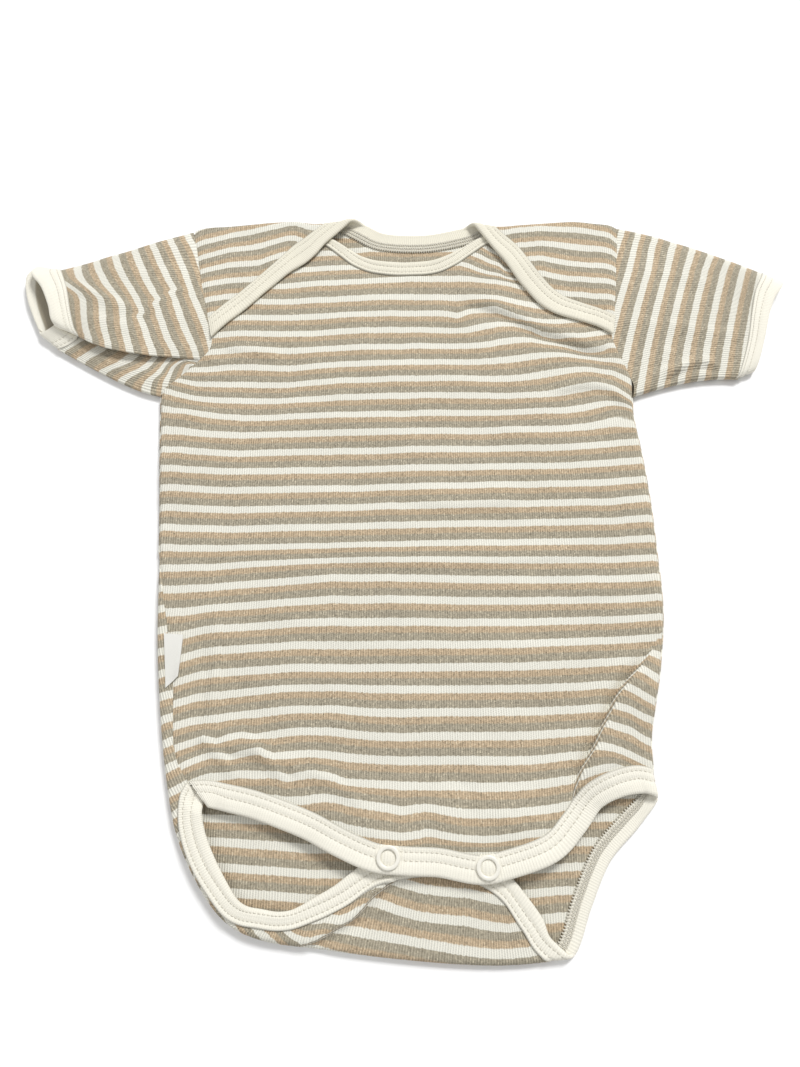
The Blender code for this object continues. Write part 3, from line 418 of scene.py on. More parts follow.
# Rings of the sleeves, over the top and back below: each row's share of the way down the armhole and
# its height there, and its places in the middle, where the cuff is sewn on and at the mouth
RingRow = namedtuple("RingRow", "share height middle cuff mouth")
RIGHT_SLEEVE = (
    RingRow(0.00, 3.0, (152.0, 167.3, 3.0), (189.4, 150.6, 2.6), (199.8, 143.6, 2.6)),
    RingRow(0.06, 5.8, (151.0, 163.0, 5.8), (187.4, 146.5, 5.2), (197.1, 139.3, 5.4)),
    RingRow(0.30, 6.2, (149.5, 147.0, 6.4), (182.6, 137.0, 5.9), (192.3, 132.5, 6.0)),
    RingRow(0.55, 6.0, (147.0, 125.0, 6.2), (178.8, 124.0, 5.8), (187.8, 122.5, 5.9)),
    RingRow(0.80, 4.9, (144.5, 103.0, 5.4), (174.4, 106.5, 5.2), (183.6, 109.0, 5.3)),
    RingRow(0.96, 4.3, (143.3, 89.0, 4.6), (168.6, 90.6, 4.6), (179.2, 96.6, 4.6)),
    RingRow(1.00, 2.6, (143.0, 85.0, 2.6), (166.0, 86.6, 2.6), (177.0, 92.0, 2.6)),
    RingRow(0.96, 0.55, (143.5, 88.6, 0.55), (168.8, 90.8, 0.55), (179.0, 96.0, 0.55)),
    RingRow(0.75, 0.55, (145.0, 105.0, 0.55), (174.5, 107.0, 0.55), (183.8, 109.5, 0.55)),
    RingRow(0.50, 0.55, (147.5, 128.0, 0.55), (179.4, 126.0, 0.55), (188.4, 124.0, 0.55)),
    RingRow(0.25, 0.55, (150.0, 150.0, 0.55), (184.0, 140.0, 0.55), (193.8, 135.5, 0.55)),
    RingRow(0.04, 0.55, (151.5, 164.5, 0.55), (188.2, 148.4, 0.55), (198.3, 141.4, 0.55)),
)
LEFT_SLEEVE = (
    RingRow(0.00, 3.0, (-150.0, 163.8, 3.0), (-184.0, 151.8, 3.2), (-196.2, 152.4, 5.0)),
    RingRow(0.06, 5.8, (-148.5, 160.0, 6.0), (-181.0, 148.0, 6.8), (-196.4, 146.2, 8.2)),
    RingRow(0.30, 6.2, (-145.0, 146.0, 7.2), (-176.1, 136.6, 8.6), (-189.4, 137.0, 9.8)),
    RingRow(0.52, 6.0, (-142.0, 125.0, 8.2), (-172.0, 122.4, 9.2), (-183.8, 125.4, 9.9)),
    RingRow(0.70, 5.6, (-141.5, 104.5, 8.8), (-168.4, 111.8, 9.0), (-181.6, 118.2, 9.4)),
    RingRow(0.75, 4.8, (-141.3, 99.3, 8.0), (-165.6, 108.2, 7.8), (-179.8, 115.6, 7.8)),
    RingRow(0.79, 4.4, (-141.6, 108.6, 3.2), (-168.2, 113.4, 4.2), (-180.6, 116.4, 5.6)),
    RingRow(0.87, 4.5, (-143.2, 94.5, 4.1), (-168.4, 107.6, 4.4), (-182.4, 114.8, 5.4)),
    RingRow(1.00, 2.6, (-143.0, 84.6, 2.6), (-177.4, 103.9, 2.4), (-188.3, 113.6, 3.0)),
    RingRow(0.93, 0.55, (-146.0, 91.0, 0.55), (-179.4, 112.5, 0.55), (-192.3, 119.8, 2.6)),
    RingRow(0.60, 0.55, (-150.0, 118.0, 0.55), (-184.5, 126.0, 0.55), (-197.7, 131.2, 2.8)),
    RingRow(0.30, 0.55, (-151.0, 142.0, 0.55), (-187.8, 139.0, 0.55), (-200.7, 141.4, 3.2)),
    RingRow(0.04, 0.55, (-151.0, 161.0, 0.55), (-187.5, 148.6, 1.0), (-200.6, 148.6, 4.2)),
)
# Where one cream stripe crosses the right sleeve: its x at a y, how it leans and how it bends
RIGHT_STRIPE_X = 139.8
RIGHT_STRIPE_Y = 126.0
RIGHT_STRIPE_LEAN = 0.32
RIGHT_STRIPE_BEND = 0.001
# Where the cream stripes cross the left sleeve: the first one's stripe coordinate, then y and x
LEFT_LINES = (94.2, (
    ((90, -90), (110, -92), (135, -101), (150, -107.4), (161, -111.2), (169, -115.4), (178, -120)),
    ((90, -97), (110, -100.8), (123, -106), (135, -111.4), (150.5, -117.2), (165, -124), (176, -129.5)),
    (
        (90, -103.5), (101, -107), (106.3, -109.5), (113, -112.8), (121.3, -116.2), (128.8, -119.1),
        (135, -121.8), (137.3, -120.6), (144.7, -124.8), (154.7, -129.9), (163, -133.7), (174, -139),
    ),
    (
        (88, -113), (95.5, -115.3), (100.5, -117.4), (107.2, -121.2), (115.5, -124.5), (123, -127.4),
        (127.8, -129.2), (130.4, -128.0), (135.5, -131.6), (142.2, -135.3), (151.3, -139.5),
        (159.7, -143.3), (172, -148),
    ),
    (
        (90, -124), (101.3, -128.7), (106.3, -130.8), (113.8, -133.7), (119.9, -136.8), (122.4, -135.4),
        (127.5, -138.0), (133.8, -141.2), (140.5, -145.3), (147.2, -149.5), (155.5, -153.3), (170, -158),
    ),
    (
        (90, -135), (102.2, -139.9), (111.3, -142.8), (119.7, -144.9), (126.3, -146.2), (130.5, -148.7),
        (133.8, -151.2), (138.8, -155.3), (145.5, -159.5), (153.4, -163.3), (168, -168),
    ),
    (
        (90, -146), (104.3, -150.8), (111.3, -153.3), (118.8, -155), (124.7, -156.2), (129.6, -157.3),
        (133, -160.5), (136.3, -164), (140.5, -168.3), (145.5, -171.2), (151.5, -173.3), (166, -177),
    ),
    (
        (92, -156), (104, -159.5), (111.3, -162.4), (118.8, -164.5), (124.7, -165.8), (130, -166.8),
        (134, -169.5), (139, -176), (146, -184), (160, -192),
    ),
    ((92, -166), (111.3, -172), (131, -177), (140, -187), (160, -203)),
))
LEFT_UNDER_LINES = (84.2, (  # the same under the tuck
    ((70, -112), (85, -112), (95, -109.5), (101, -107), (110, -102)),
    ((70, -121), (80, -120.5), (85, -119.5), (92, -117.5), (97, -113), (110, -107)),
    ((70, -130), (83, -128.5), (88, -124), (95, -121), (110, -114)),
    ((70, -156), (79.5, -149), (84, -144), (86.8, -140), (89.5, -135), (93, -130), (110, -122)),
    ((70, -184), (82, -165), (87, -157.5), (90.7, -152), (93.2, -145), (97, -139), (110, -132)),
    ((70, -210), (88, -180), (93, -171), (97.5, -164.5), (101, -158), (110, -150)),
    ((70, -230), (96, -190), (102, -178), (106, -170), (110, -164)),
))

# Creases of the sleeves
SLEEVE_CREASES = {
    "right": (
        Crease(0.7, 4.0, 8.0, ((116, 118), (136, 116), (160, 112), (176, 112))),
        Crease(0.8, 3.0, 8.0, ((116, 80), (126, 88), (142, 92), (156, 90))),
        Crease(0.5, 4.0, 9.0, ((118, 150), (140, 148), (166, 138))),
        Crease(0.5, 4.0, 8.0, ((122, 104), (138, 100), (158, 100))),
        Crease(1.6, 1.6, 6.0, ((160, 92), (150, 94), (140, 92), (128, 85))),
        Crease(-1.0, 1.4, 4.0, ((126, 82), (140, 89), (150, 91), (160, 89))),
    ),
    "left": (
        Crease(1.1, 3.0, 7.0, ((-176, 142), (-166, 136.5), (-152, 130), (-138, 124))),
        Crease(0.9, 0.9, 6.0, ((-139, 119.5), (-130, 128), (-121.5, 136.2), (-111, 141))),
        Crease(0.6, 4.0, 8.0, ((-168, 122), (-150, 116), (-130, 112))),
        Crease(0.5, 4.0, 9.0, ((-160, 152), (-140, 148), (-122, 150))),
    ),
}

# Waves of cloth that was laid down by hand: height, pace along x and along y, and start
WAVES = (
    (0.34, 0.071, 0.024, 0.4), (0.27, -0.033, 0.082, 2.1), (0.22, 0.118, -0.061, 4.0),
    (0.17, 0.046, 0.151, 1.2), (0.12, -0.169, 0.094, 5.3), (0.13, 0.21, 0.17, 0.9),
    (0.12, -0.26, 0.12, 3.3), (0.10, 0.09, 0.31, 5.0), (0.07, 0.41, -0.14, 1.7),
)

# The stage: each lamp's place in metres, its turn in degrees, its size and its share of the light
LAMPS = {
    "key_light": ((0.92, 1.50, 2.00), (-36, 24, 0), 0.78, 3.0),
    "fill_light": ((-0.75, -0.35, 1.00), (18, -34, 0), 1.3, 0.2),
}
CAMERA_PLACE = (-0.003, -0.130, 0.3524)
CAMERA_TILT = 20.8


# ---- Lines and folds -------------------------------------------------------------------------


def unit(vectors):
    return vectors / np.linalg.norm(vectors, axis=-1, keepdims=True)


def ease(value, start, end):
    """0 before start, 1 after end, and a smooth climb between."""
    share = np.clip((value - start) / (end - start), 0, 1)
    return share * share * (3 - 2 * share)


def outward(line):
    """The way out of a line in plan at each of its points, on its right-hand side."""
    along = unit(np.gradient(line[:, :2], axis=0))
    return np.column_stack([along[:, 1], -along[:, 0]])


def moved_out(line, way):
    return line[:, :2] + outward(line) * way


def run_along(line):
    """How far along a line each of its points lies."""
    return np.concatenate([[0], np.cumsum(np.linalg.norm(np.diff(line, axis=0), axis=1))])


def read_at(at, run, table):
    """The table's columns, read at places along its run."""
    return np.column_stack([np.interp(at, run, column) for column in table.T])


def spaced(line, step):
    """The same line with its points evenly about a step apart."""
    run = run_along(line[:, :2])
    return read_at(np.linspace(0, run[-1], max(2, round(run[-1] / step) + 1)), run, line)


def spline(rows, at, closed=False):
    """Smooth values at row numbers that may lie between two rows."""
    rows = np.array(rows, float)
    if closed:
        padded = np.vstack([rows[-1:], rows, rows[:2]])
    else:
        padded = np.vstack([2 * rows[0] - rows[1], rows, 2 * rows[-1] - rows[-2]])
    first = np.clip(np.floor(at).astype(int), 0, len(padded) - 4)
    t = (at - first)[:, None]
    a, b, c, d = (padded[first + k] for k in range(4))
    square, cube = 2 * a - 5 * b + 4 * c - d, 3 * b - a - 3 * c + d
    return 0.5 * (2 * b + (c - a) * t + square * t**2 + cube * t**3)


def curve(rows, step=1.0):
    """A smooth line through the rows, with its points a step apart."""
    last, fine = len(rows) - 1, 16
    return spaced(spline(rows, np.linspace(0, last, fine * last + 1)), step)


def distances(points, tree):
    return np.array([tree.find((x, y, 0))[2] for x, y in points])


def tree_of(points):
    tree = KDTree(len(points))
    for number, (x, y) in enumerate(points):
        tree.insert((x, y, 0), number)
    tree.balance()
    return tree


class Line:
    """A smooth line in plan, and how far out of it a point lies, on its right-hand side."""

    def __init__(self, rows, inset=0.0):
        line = curve(rows)
        points = line[:, :2]
        self.radius = line[:, 2] if line.shape[1] > 2 else np.zeros(len(line))
        self.points = points - outward(points) * (self.radius + inset)[:, None]
        self.along = unit(np.gradient(self.points, axis=0))
        self.out = outward(self.points)
        turn = np.gradient(self.along, axis=0)
        pace = np.linalg.norm(np.gradient(self.points, axis=0), axis=1)
        self.bend = (self.along[:, 0] * turn[:, 1] - self.along[:, 1] * turn[:, 0]) / pace
        self.tree = tree_of(self.points)
        self.low, self.high = self.points.min(axis=0), self.points.max(axis=0)

    def near(self, plan, room):
        """Which points lie within the line's box, widened by some room."""
        return ((plan > self.low - room) & (plan < self.high + room)).all(axis=1)

    def reach(self, plan):
        """Each point's foot on the line, the way out there, how far out it lies and its row."""
        near = np.array([self.tree.find((x, y, 0))[1] for x, y in plan], dtype=int)
        offset = plan - self.points[near]
        distance = (offset * self.out[near]).sum(1)
        room = np.maximum(1 + self.bend[near] * distance, 0.2)
        slip = (offset * self.along[near]).sum(1) / room
        foot = self.points[near] + self.along[near] * slip[:, None]
        out = unit(self.out[near] + self.along[near] * (self.bend[near] * slip)[:, None])
        return foot, out, ((plan - foot) * out).sum(1), near + slip


class Fold(Line):
    """A line about which cloth turns over, inside the fold's outermost edge."""

    def __init__(self, rows):
        super().__init__(rows, inset=CLOTH / 2)

    def bend_at(self, plan):
        foot, out, beyond, row = self.reach(plan)
        return foot, out, beyond, np.interp(row, np.arange(len(self.radius)), self.radius)

    def opened(self, plan):
        """Where in the flat cut a point lies that is seen on the turned-over side."""
        foot, out, beyond, radius = self.bend_at(plan)
        return foot + out * (math.pi * radius - beyond)[:, None]


class LevelFold(Fold):
    """A fold over which everything turns straight along y, as at the shoulders."""

    def bend_at(self, plan):
        order = np.argsort(self.points[:, 0])
        level = np.interp(plan[:, 0], self.points[order, 0], self.points[order, 1])
        radius = np.interp(plan[:, 0], self.points[order, 0], self.radius[order])
        foot = np.column_stack([plan[:, 0], level])
        return foot, np.tile((0.0, 1.0), (len(plan), 1)), plan[:, 1] - level, radius


def with_lines(creases):
    return [(crease, Line(crease.path)) for crease in creases]


body_fold = Fold(LEFT_AND_BOTTOM)
right_fold = Fold(RIGHT_SIDE)
shoulder_fold = LevelFold(SHOULDERS)
top_creases = with_lines(CREASES)
back_creases = with_lines(BACK_CREASES)
flap_creases = with_lines(FLAP_CREASES)
hip_edge = top_creases[0][1]
flap_edge = flap_creases[0][1]


# ---- Heights ---------------------------------------------------------------------------------


def relief(plan, creases):
    """How far the creases lift the cloth."""
    total = np.zeros(len(plan))
    for crease, line in creases:
        near = line.near(plan, max(crease.before, crease.after))
        if not near.any():
            continue
        _, _, side, row = line.reach(plan[near])
        last = len(line.points) - 1
        fade = ease(row, 0, 0.25 * last) * (1 - ease(row, 0.75 * last, last))
        shape = ease(side, -crease.before, 0) * (1 - ease(side, 0, crease.after))
        total[near] += crease.rise * fade * shape
    return total


def unevenness(plan, size):
    """Low, wide waves."""
    x, y = plan.T
    total = np.zeros(len(plan))
    for height, along_x, along_y, phase in WAVES:
        total += height * np.sin(along_x * x + along_y * y + phase + 0.6 * np.sin(0.03 * (x - y)))
    return total * size


def by_shoulder(plan):
    """0 on the chest and 1 at the shoulders."""
    return ease(plan[:, 1], *SHOULDER_RISE)


def front_height(plan):
    x, y = plan.T
    over_flap = ease(-y, 104, 128) * ease(x, -50, -22) * (1 - ease(x, 48, 70))
    level = TOP - NECK_DROP * by_shoulder(plan) + CROTCH_RISE * over_flap
    return level + relief(plan, top_creases) + unevenness(plan, FRONT_WAVES)


def lap_height(plan):
    return front_height(plan) + LAP_RISE + LAP_LOFT * by_shoulder(plan)


def turned_up_height(plan):
    """The back's cloth where it comes round the left side or up over the bottom."""
    x, y = plan.T
    level = TOP - FLAP_DROP * ease(x, -75, -25) + relief(plan, top_creases) * ease(y, -125, -108)
    under_corner = 1 - ease(np.hypot(x + 84.5, y + 112.5), 3.5, 9.0)
    return level + relief(plan, flap_creases) - CORNER_DROP * under_corner


def under_height(plan, half):
    """The back on the surface, with soft troughs where it lifts away."""
    x, y = plan.T
    inner = ease(x, -96, -80) * (1 - ease(x, 84, 98)) * ease(y, -132, -118) * (1 - ease(y, 146, 160))
    return half + inner * (relief(plan, back_creases) + 0.16 + unevenness(plan, BACK_WAVES))


def turn(cut, fold, half, near, far):
    """Cloth that lies at one height up to a fold, runs round it and comes back at another height."""
    foot, out, beyond, radius = fold.bend_at(cut)
    angle = np.clip(beyond / radius, 0, math.pi)
    away = (radius + CLOTH / 2 - half) * np.sin(angle) - np.maximum(beyond - math.pi * radius, 0)
    plan = np.where(beyond[:, None] > 0, foot + out * away[:, None], cut)
    share = (1 - np.cos(angle)) / 2
    height = near(plan) * (1 - share) + far(plan) * share
    return np.column_stack([plan, height])


def laid(cut, half, regions):
    """The places of cut points, region by region: which points, their fold and the heights about it."""
    place = np.empty((len(cut), 3))
    for here, fold, near, far in regions:
        place[here] = turn(cut[here], fold, half, near, far)
    return place


def lay_front(cut, half=FLOOR):
    """The front: flat on top, and a quarter turn down at each side."""

    def top(plan):
        return front_height(plan) + half - FLOOR

    def under(plan):
        return np.full(len(plan), half)

    left = cut[:, 0] < 0
    return laid(cut, half, ((left, body_fold, top, under), (~left, right_fold, top, under)))


def lay_back(cut, half=FLOOR):
    """The back: flat on the surface, up round the sides, and over at the shoulders and the crotch."""
    lift = half - FLOOR

    def under(plan):
        return under_height(plan, half)

    def over_shoulder(plan):
        return lap_height(plan) + lift

    def over_body(plan):
        return turned_up_height(plan) + lift

    def over_right(plan):
        return front_height(plan) + lift

    shoulder = cut[:, 1] > SHOULDER_CUT
    right = ~shoulder & (cut > RIGHT_CUT).all(axis=1)
    return laid(cut, half, (
        (shoulder, shoulder_fold, under, over_shoulder),
        (right, right_fold, under, over_right),
        (~shoulder & ~right, body_fold, under, over_body),
    ))


# ---- Stripes ---------------------------------------------------------------------------------


def drifted(cut, table):
    """The stripe coordinate: the height in the cut, less how far the stripes have drifted."""
    x, y = cut.T
    levels = np.array([row[0] for row in table])
    drifts = np.stack([np.interp(x, *zip(*row[1])) for row in table])
    at = np.interp(-y, -levels, np.arange(len(levels)))
    low = np.clip(np.floor(at).astype(int), 0, len(levels) - 2)
    share = at - low
    share = share * share * (3 - 2 * share)
    every = np.arange(len(cut))
    return y - drifts[low, every] * (1 - share) - drifts[low + 1, every] * share


def levels_of(first, paths):
    return first - REPEAT * np.arange(len(paths))


def counted(at, across, first, paths):
    """The stripe coordinate between lines that are given from the top one down."""
    levels = levels_of(first, paths)
    smooth = [curve(path, 1.0) for path in paths]
    heights = np.stack([np.interp(at, path[:, 0], path[:, 1]) for path in smooth])
    above = np.clip((heights > across).sum(axis=0) - 1, 0, len(paths) - 2)
    every = np.arange(len(at))
    high, low = heights[above, every], heights[above + 1, every]
    share = (high - across) / np.maximum(high - low, 0.5)
    return levels[above] + (levels[above + 1] - levels[above]) * share


def fanned(plan, first, paths):
    """The stripe coordinate between lines that run any way, by the distance to the nearest ones."""
    levels = levels_of(first, paths)
    far = np.stack([distances(plan, tree_of(curve(path, 0.5))) for path in paths])
    every = np.arange(len(plan))
    near = np.clip(far.argmin(axis=0), 1, len(paths) - 2)
    other = np.where(far[near - 1, every] < far[near + 1, every], near - 1, near + 1)
    here, there = far[near, every], far[other, every]
    return (levels[near] * there + levels[other] * here) / (here + there)


def front_stripes(cut, _middle):
    x, y = cut.T
    v = drifted(cut, FRONT_DRIFT)
    chest = ease(y, 60, 68)
    low = ease(-y, 62, 70)
    v = v * (1 - chest) + counted(x, y, *CHEST_LINES) * chest
    v = v * (1 - low) + counted(x, y, *LOW_LINES) * low
    _, _, side, _ = hip_edge.reach(cut)
    beyond = (side > 0) & (x > 62) & (y < -40) & (y > -122)
    v[beyond] = counted(x[beyond], y[beyond], *HIP_LINES)
    return v


def back_stripes(cut, middle):
    v = drifted(cut, BACK_DRIFT)
    _, _, beyond, radius = body_fold.bend_at(cut)
    plan = middle[:, :2]
    _, _, side, _ = flap_edge.reach(plan)
    rolled = (beyond > 1.2 * radius) & (cut[:, 1] < -130) & (plan[:, 0] < 0) & (side > 0)
    blend = ease(plan[rolled, 0], -88, -80)
    v[rolled] = v[rolled] * (1 - blend) + fanned(plan[rolled], *ROLL_LINES) * blend
    return v


# ---- Meshes ----------------------------------------------------------------------------------


def cloth_object(name, points, faces, cut, fabric):
    """One named object from millimetre points, its faces turned outwards."""
    mesh = bpy.data.meshes.new(name)
    mesh.from_pydata((np.asarray(points) * MM).tolist(), [], faces)
    shape = bmesh.new()
    shape.from_mesh(mesh)
    bmesh.ops.recalc_face_normals(shape, faces=shape.faces)
    shape.to_mesh(mesh)
    shape.free()
    mesh.shade_smooth()
    mesh.set_sharp_from_angle(angle=math.radians(60))
    places = mesh.attributes.new("cut", "FLOAT_VECTOR", "POINT")
    places.data.foreach_set("vector", np.asarray(cut, np.float32).ravel())
    mesh.materials.append(fabric)
    piece = bpy.data.objects.new(name, mesh)
    bpy.context.scene.collection.objects.link(piece)
    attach(piece, "root")
    return piece


def inside(points, outline):
    """Whether each point lies inside a closed outline."""
    x, y = points.T
    crossings = np.zeros(len(points), int)
    for (ax, ay), (bx, by) in zip(outline, np.roll(outline, -1, axis=0)):
        if ay != by:
            spans = (ay > y) != (by > y)
            crossings += spans & (x < ax + (y - ay) * (bx - ax) / (by - ay))
    return crossings % 2 == 1


def fold_rows(fold):
    """Points in lines along a fold, at even turns round it."""
    start = spaced(np.column_stack([fold.points, fold.out, fold.radius]), FOLD_STEP)
    return np.vstack([
        start[:, :2] + unit(start[:, 2:4]) * (math.pi * start[:, 4] * share)[:, None]
        for share in np.linspace(0, 1, FOLD_TURNS)
    ])


def mesh_normals(points, triangles):
    a, b, c = (points[triangles[:, k]] for k in range(3))
    face = np.cross(b - a, c - a)
    total = np.zeros_like(points)
    for k in range(3):
        np.add.at(total, triangles[:, k], face)
    return unit(total)


def panel(name, outline, seams, bound, lay, fixed, stripes, fabric):
    """A cloth: its outline filled with points, laid, and thick to both sides of its middle.

    It dips at its seams, and thins where it goes into a binding. The fixed points stay in the mesh.
    """
    low, high = outline.min(axis=0), outline.max(axis=0)
    columns = np.arange(low[0], high[0], PANEL_STEP)
    rows = np.arange(low[1], high[1], PANEL_STEP * 0.87)
    grid = np.array([(x + PANEL_STEP / 2 * (k % 2), y) for k, y in enumerate(rows) for x in columns])
    grid = grid[inside(grid, outline)]
    fixed = fixed[inside(fixed, outline)]
    grid = grid[distances(grid, tree_of(fixed)) > PANEL_STEP * 0.55]
    loose = np.vstack([grid, fixed])
    loose = loose[distances(loose, tree_of(outline)) > EDGE_STEP / 2]
    corners = [tuple(point) for point in np.vstack([outline, loose])]
    flat, _, triangles, _, _, _ = delaunay_2d_cdt(corners, [], [list(range(len(outline)))], 1, 1e-4)
    cut = np.array([tuple(point) for point in flat])
    triangles = np.array(triangles)
    middle = lay(cut)
    normal = mesh_normals(middle, triangles)
    to_seam, to_bound = distances(cut, tree_of(seams)), distances(cut, tree_of(bound))
    side = np.sign(normal[:, 2])[:, None]
    middle = middle - normal * side * (SEAM_DIP * (1 - ease(to_seam, 0.2, 1.7)))[:, None]
    middle = middle - normal * side * (BOUND_DIP * (1 - ease(to_bound, HIDE + 0.2, HIDE + 1.6)))[:, None]
    half = (CLOTH / 2 * (1 - BOUND_THIN * (1 - ease(to_bound, 0.6, 3.2))))[:, None]
    count = len(cut)
    points = np.vstack([middle + normal * half, middle - normal * half])
    points[:, 2] = np.maximum(points[:, 2], 0.0)
    faces = triangles.tolist()
    edges = {(a, b) for a, b, c in faces for a, b in ((a, b), (b, c), (c, a))}
    rim_edges = [(a, b) for a, b in edges if (b, a) not in edges]
    under = (count + triangles[:, ::-1]).tolist()
    walls = [(b, a, a + count, b + count) for a, b in rim_edges]
    v = stripes(cut, middle)
    place = np.column_stack([cut[:, 0], v, np.zeros(count)])
    return cloth_object(name, points, faces + under + walls, np.vstack([place, place + (0, 0, 1)]), fabric)


def swept(name, rings, marks, fabric, closed=False):
    """A solid through rings of points, its ends capped unless it closes on itself."""
    count, size = len(rings), len(rings[0])
    faces = []
    for k in range(count if closed else count - 1):
        here, there = k * size, (k + 1) % count * size
        sides = [(j, (j + 1) % size) for j in range(size)]
        faces += [(here + a, here + b, there + b, there + a) for a, b in sides]
    if not closed:
        faces += [tuple(range(size)), tuple(reversed(range((count - 1) * size, count * size)))]
    return cloth_object(name, np.vstack(rings), faces, np.vstack(marks), fabric)


def strip_top(across, width):
    """How far a binding's outer face rises: sunk at both rows of stitches, and puffed beyond."""
    share = across / width
    rise = OUTER_FACE + PUFF * ease(share, 0.5, 0.72) - 0.14 * (1 - ease(share, 0, 0.1))
    for row in STITCH_ROWS:
        sunk = np.where(np.asarray(width) > row + STITCH_ROOM, ROW_DIP, 0.0)
        rise = rise - sunk * np.exp(-(((across - row) / 0.62) ** 2))
    return rise


def strip_section(width):
    """Across a binding, from its sewn edge round its outer face and back: place across, and rise."""
    flat = np.linspace(0.25, width - RIM, 17)
    outer = [(0.0, SEWN_EDGE)] + [(s, float(strip_top(s, width))) for s in flat]
    crown = float(strip_top(flat[-1], width))
    bend = [
        (width - RIM + RIM * math.sin(angle), -0.03 + (crown + 0.03) * math.cos(angle))
        for angle in np.linspace(0.35, math.pi - 0.35, 7)
    ]
    inner = [
        (s, -INNER_FACE + 0.1 * math.exp(-(((s - STITCH_ROWS[0]) / 0.8) ** 2))) for s in flat[::-1][::2]
    ]
    return np.array(outer + bend + inner + [(0.0, -0.8)])


class Binding:
    """A folded strip along an edge of the cut, with slanted ends, that lies as the cloth lies."""

    def __init__(self, edge, start, end, lay, outer, widths=BINDING_WIDTH):
        path = edge[:, :2]
        self.run = run_along(path)
        straight = moved_out(path, np.reshape(widths, (-1, 1)))
        rim = straight.copy()
        for slant, distance, way in ((start, self.run, 1), (end, self.run[-1] - self.run, -1)):
            share = 1 - ease(distance, 0, 24)
            nearest = np.linalg.norm(straight - slant, axis=1).argmin()
            at = self.run + way * distance[nearest] * share
            rim += read_at(at, self.run, straight) - straight
            rim += (slant - straight[nearest]) * share[:, None]
        out = rim - path
        self.path = path
        self.size = np.linalg.norm(out, axis=1)
        self.out = out / self.size[:, None]
        self.lay = lay
        self.outer = outer  # 1 where the outer face is the cloth's upper one in the cut, else -1

    def length(self):
        return float(self.run[-1])

    def face(self, run, across):
        """Places on the strip's middle, with the outer normal there."""
        out = unit(read_at(run, self.run, self.out))
        cut = read_at(run, self.run, self.path) + out * np.reshape(across, (-1, 1))

        def lay(place):
            return self.lay(place, BINDING / 2)

        beside = 0.15
        here = lay(cut)
        by_x = lay(cut + (beside, 0)) - here
        by_y = lay(cut + (0, beside)) - here
        return here, unit(np.cross(by_x, by_y)) * self.outer

    def mesh(self, name, rib, domes=()):
        """The strip's own object, pressed flat under each snap and domed in its middle."""
        section = np.stack([strip_section(width) for width in self.size])
        faces = [self.face(self.run, place) for place in section[:, :, 0].T]
        middle = np.stack([place for place, _ in faces], axis=1)
        normal = np.stack([up for _, up in faces], axis=1)
        rise = section[:, :, 1].copy()
        upper = rise > 0
        from_end = np.minimum(self.run, self.run[-1] - self.run)
        rise *= (0.45 + 0.55 * ease(from_end, 0, 1.8))[:, None]
        side = np.where(upper, 0.0, 1.0)
        for x, y in domes:
            far = np.hypot(middle[:, :, 0] - x, middle[:, :, 1] - y)
            pressed = 1.16 + 0.42 * (1 - ease(far, 1.2, SNAP_HOLE - 0.2))
            under_snap = 1 - ease(far, SNAP_OUTER - 0.4, SNAP_OUTER + 0.6)
            rise = np.where(upper, rise + (pressed - rise) * under_snap, rise)
            side[upper & (far < SNAP_OUTER + 0.8)] = 1.0
        points = middle + normal * rise[:, :, None]
        points[:, :, 2] = np.maximum(points[:, :, 2], 0.08)
        run = np.repeat(self.run[:, None], section.shape[1], axis=1)
        marks = np.stack([run, section[:, :, 0], side], axis=2)
        return swept(name, list(points), list(marks), rib)


# ---- Sewing ----------------------------------------------------------------------------------


def model_stitch():
    """One stitch, modelled once: a small capsule along x, 1 mm long and 1 mm wide."""
    bpy.ops.object.select_all(action="DESELECT")
    turned = (0, math.pi / 2, 0)
    bpy.ops.mesh.primitive_uv_sphere_add(segments=6, ring_count=5, radius=0.5, rotation=turned)
    ball = bpy.context.active_object
    bpy.ops.object.transform_apply(location=False, rotation=True, scale=False)
    points = np.array([tuple(vertex.co) for vertex in ball.data.vertices])
    faces = [tuple(face.vertices) for face in ball.data.polygons]
    bpy.data.objects.remove(ball)
    return points, faces


def sewn(name, starts, ends, normals, thick, thread):
    """Stitches from these starts to these ends, bowed up in the middle, as one object."""
    shape, faces = model_stitch()
    starts, ends = np.asarray(starts), np.asarray(ends)
    way = ends - starts
    length = np.linalg.norm(way, axis=1)
    along = way / length[:, None]
    up = unit(normals - along * (normals * along).sum(1)[:, None])
    side = np.cross(up, along)
    middle = (starts + ends) / 2
    bow = 0.28 * thick * (1 - (2 * shape[:, 0]) ** 2)
    points = (
        middle[:, None]
        + along[:, None] * (shape[None, :, :1] * length[:, None, None])
        + side[:, None] * (shape[None, :, 1:2] * thick)
        + up[:, None] * (shape[None, :, 2:] * thick + bow[None, :, None])
    )
    points[:, :, 2] = np.maximum(points[:, :, 2], 0.0)
    count = len(shape)
    every = [tuple(number + k * count for number in face) for k in range(len(starts)) for face in faces]
    marks = np.zeros((len(starts), count, 3))
    marks[:, :, 0] = shape[None, :, 0] * length[:, None] + np.arange(len(starts))[:, None] * STITCH_LENGTH
    marks[:, :, 1] = shape[None, :, 1]
    return cloth_object(name, points.reshape(-1, 3), every, marks.reshape(-1, 3), thread)


def stitch_starts(binding, pitch):
    """Even places along a binding, short of its ends."""
    count = int((binding.length() - 2 * STITCH_ROOM) / pitch)
    return STITCH_ROOM + np.arange(count) * pitch


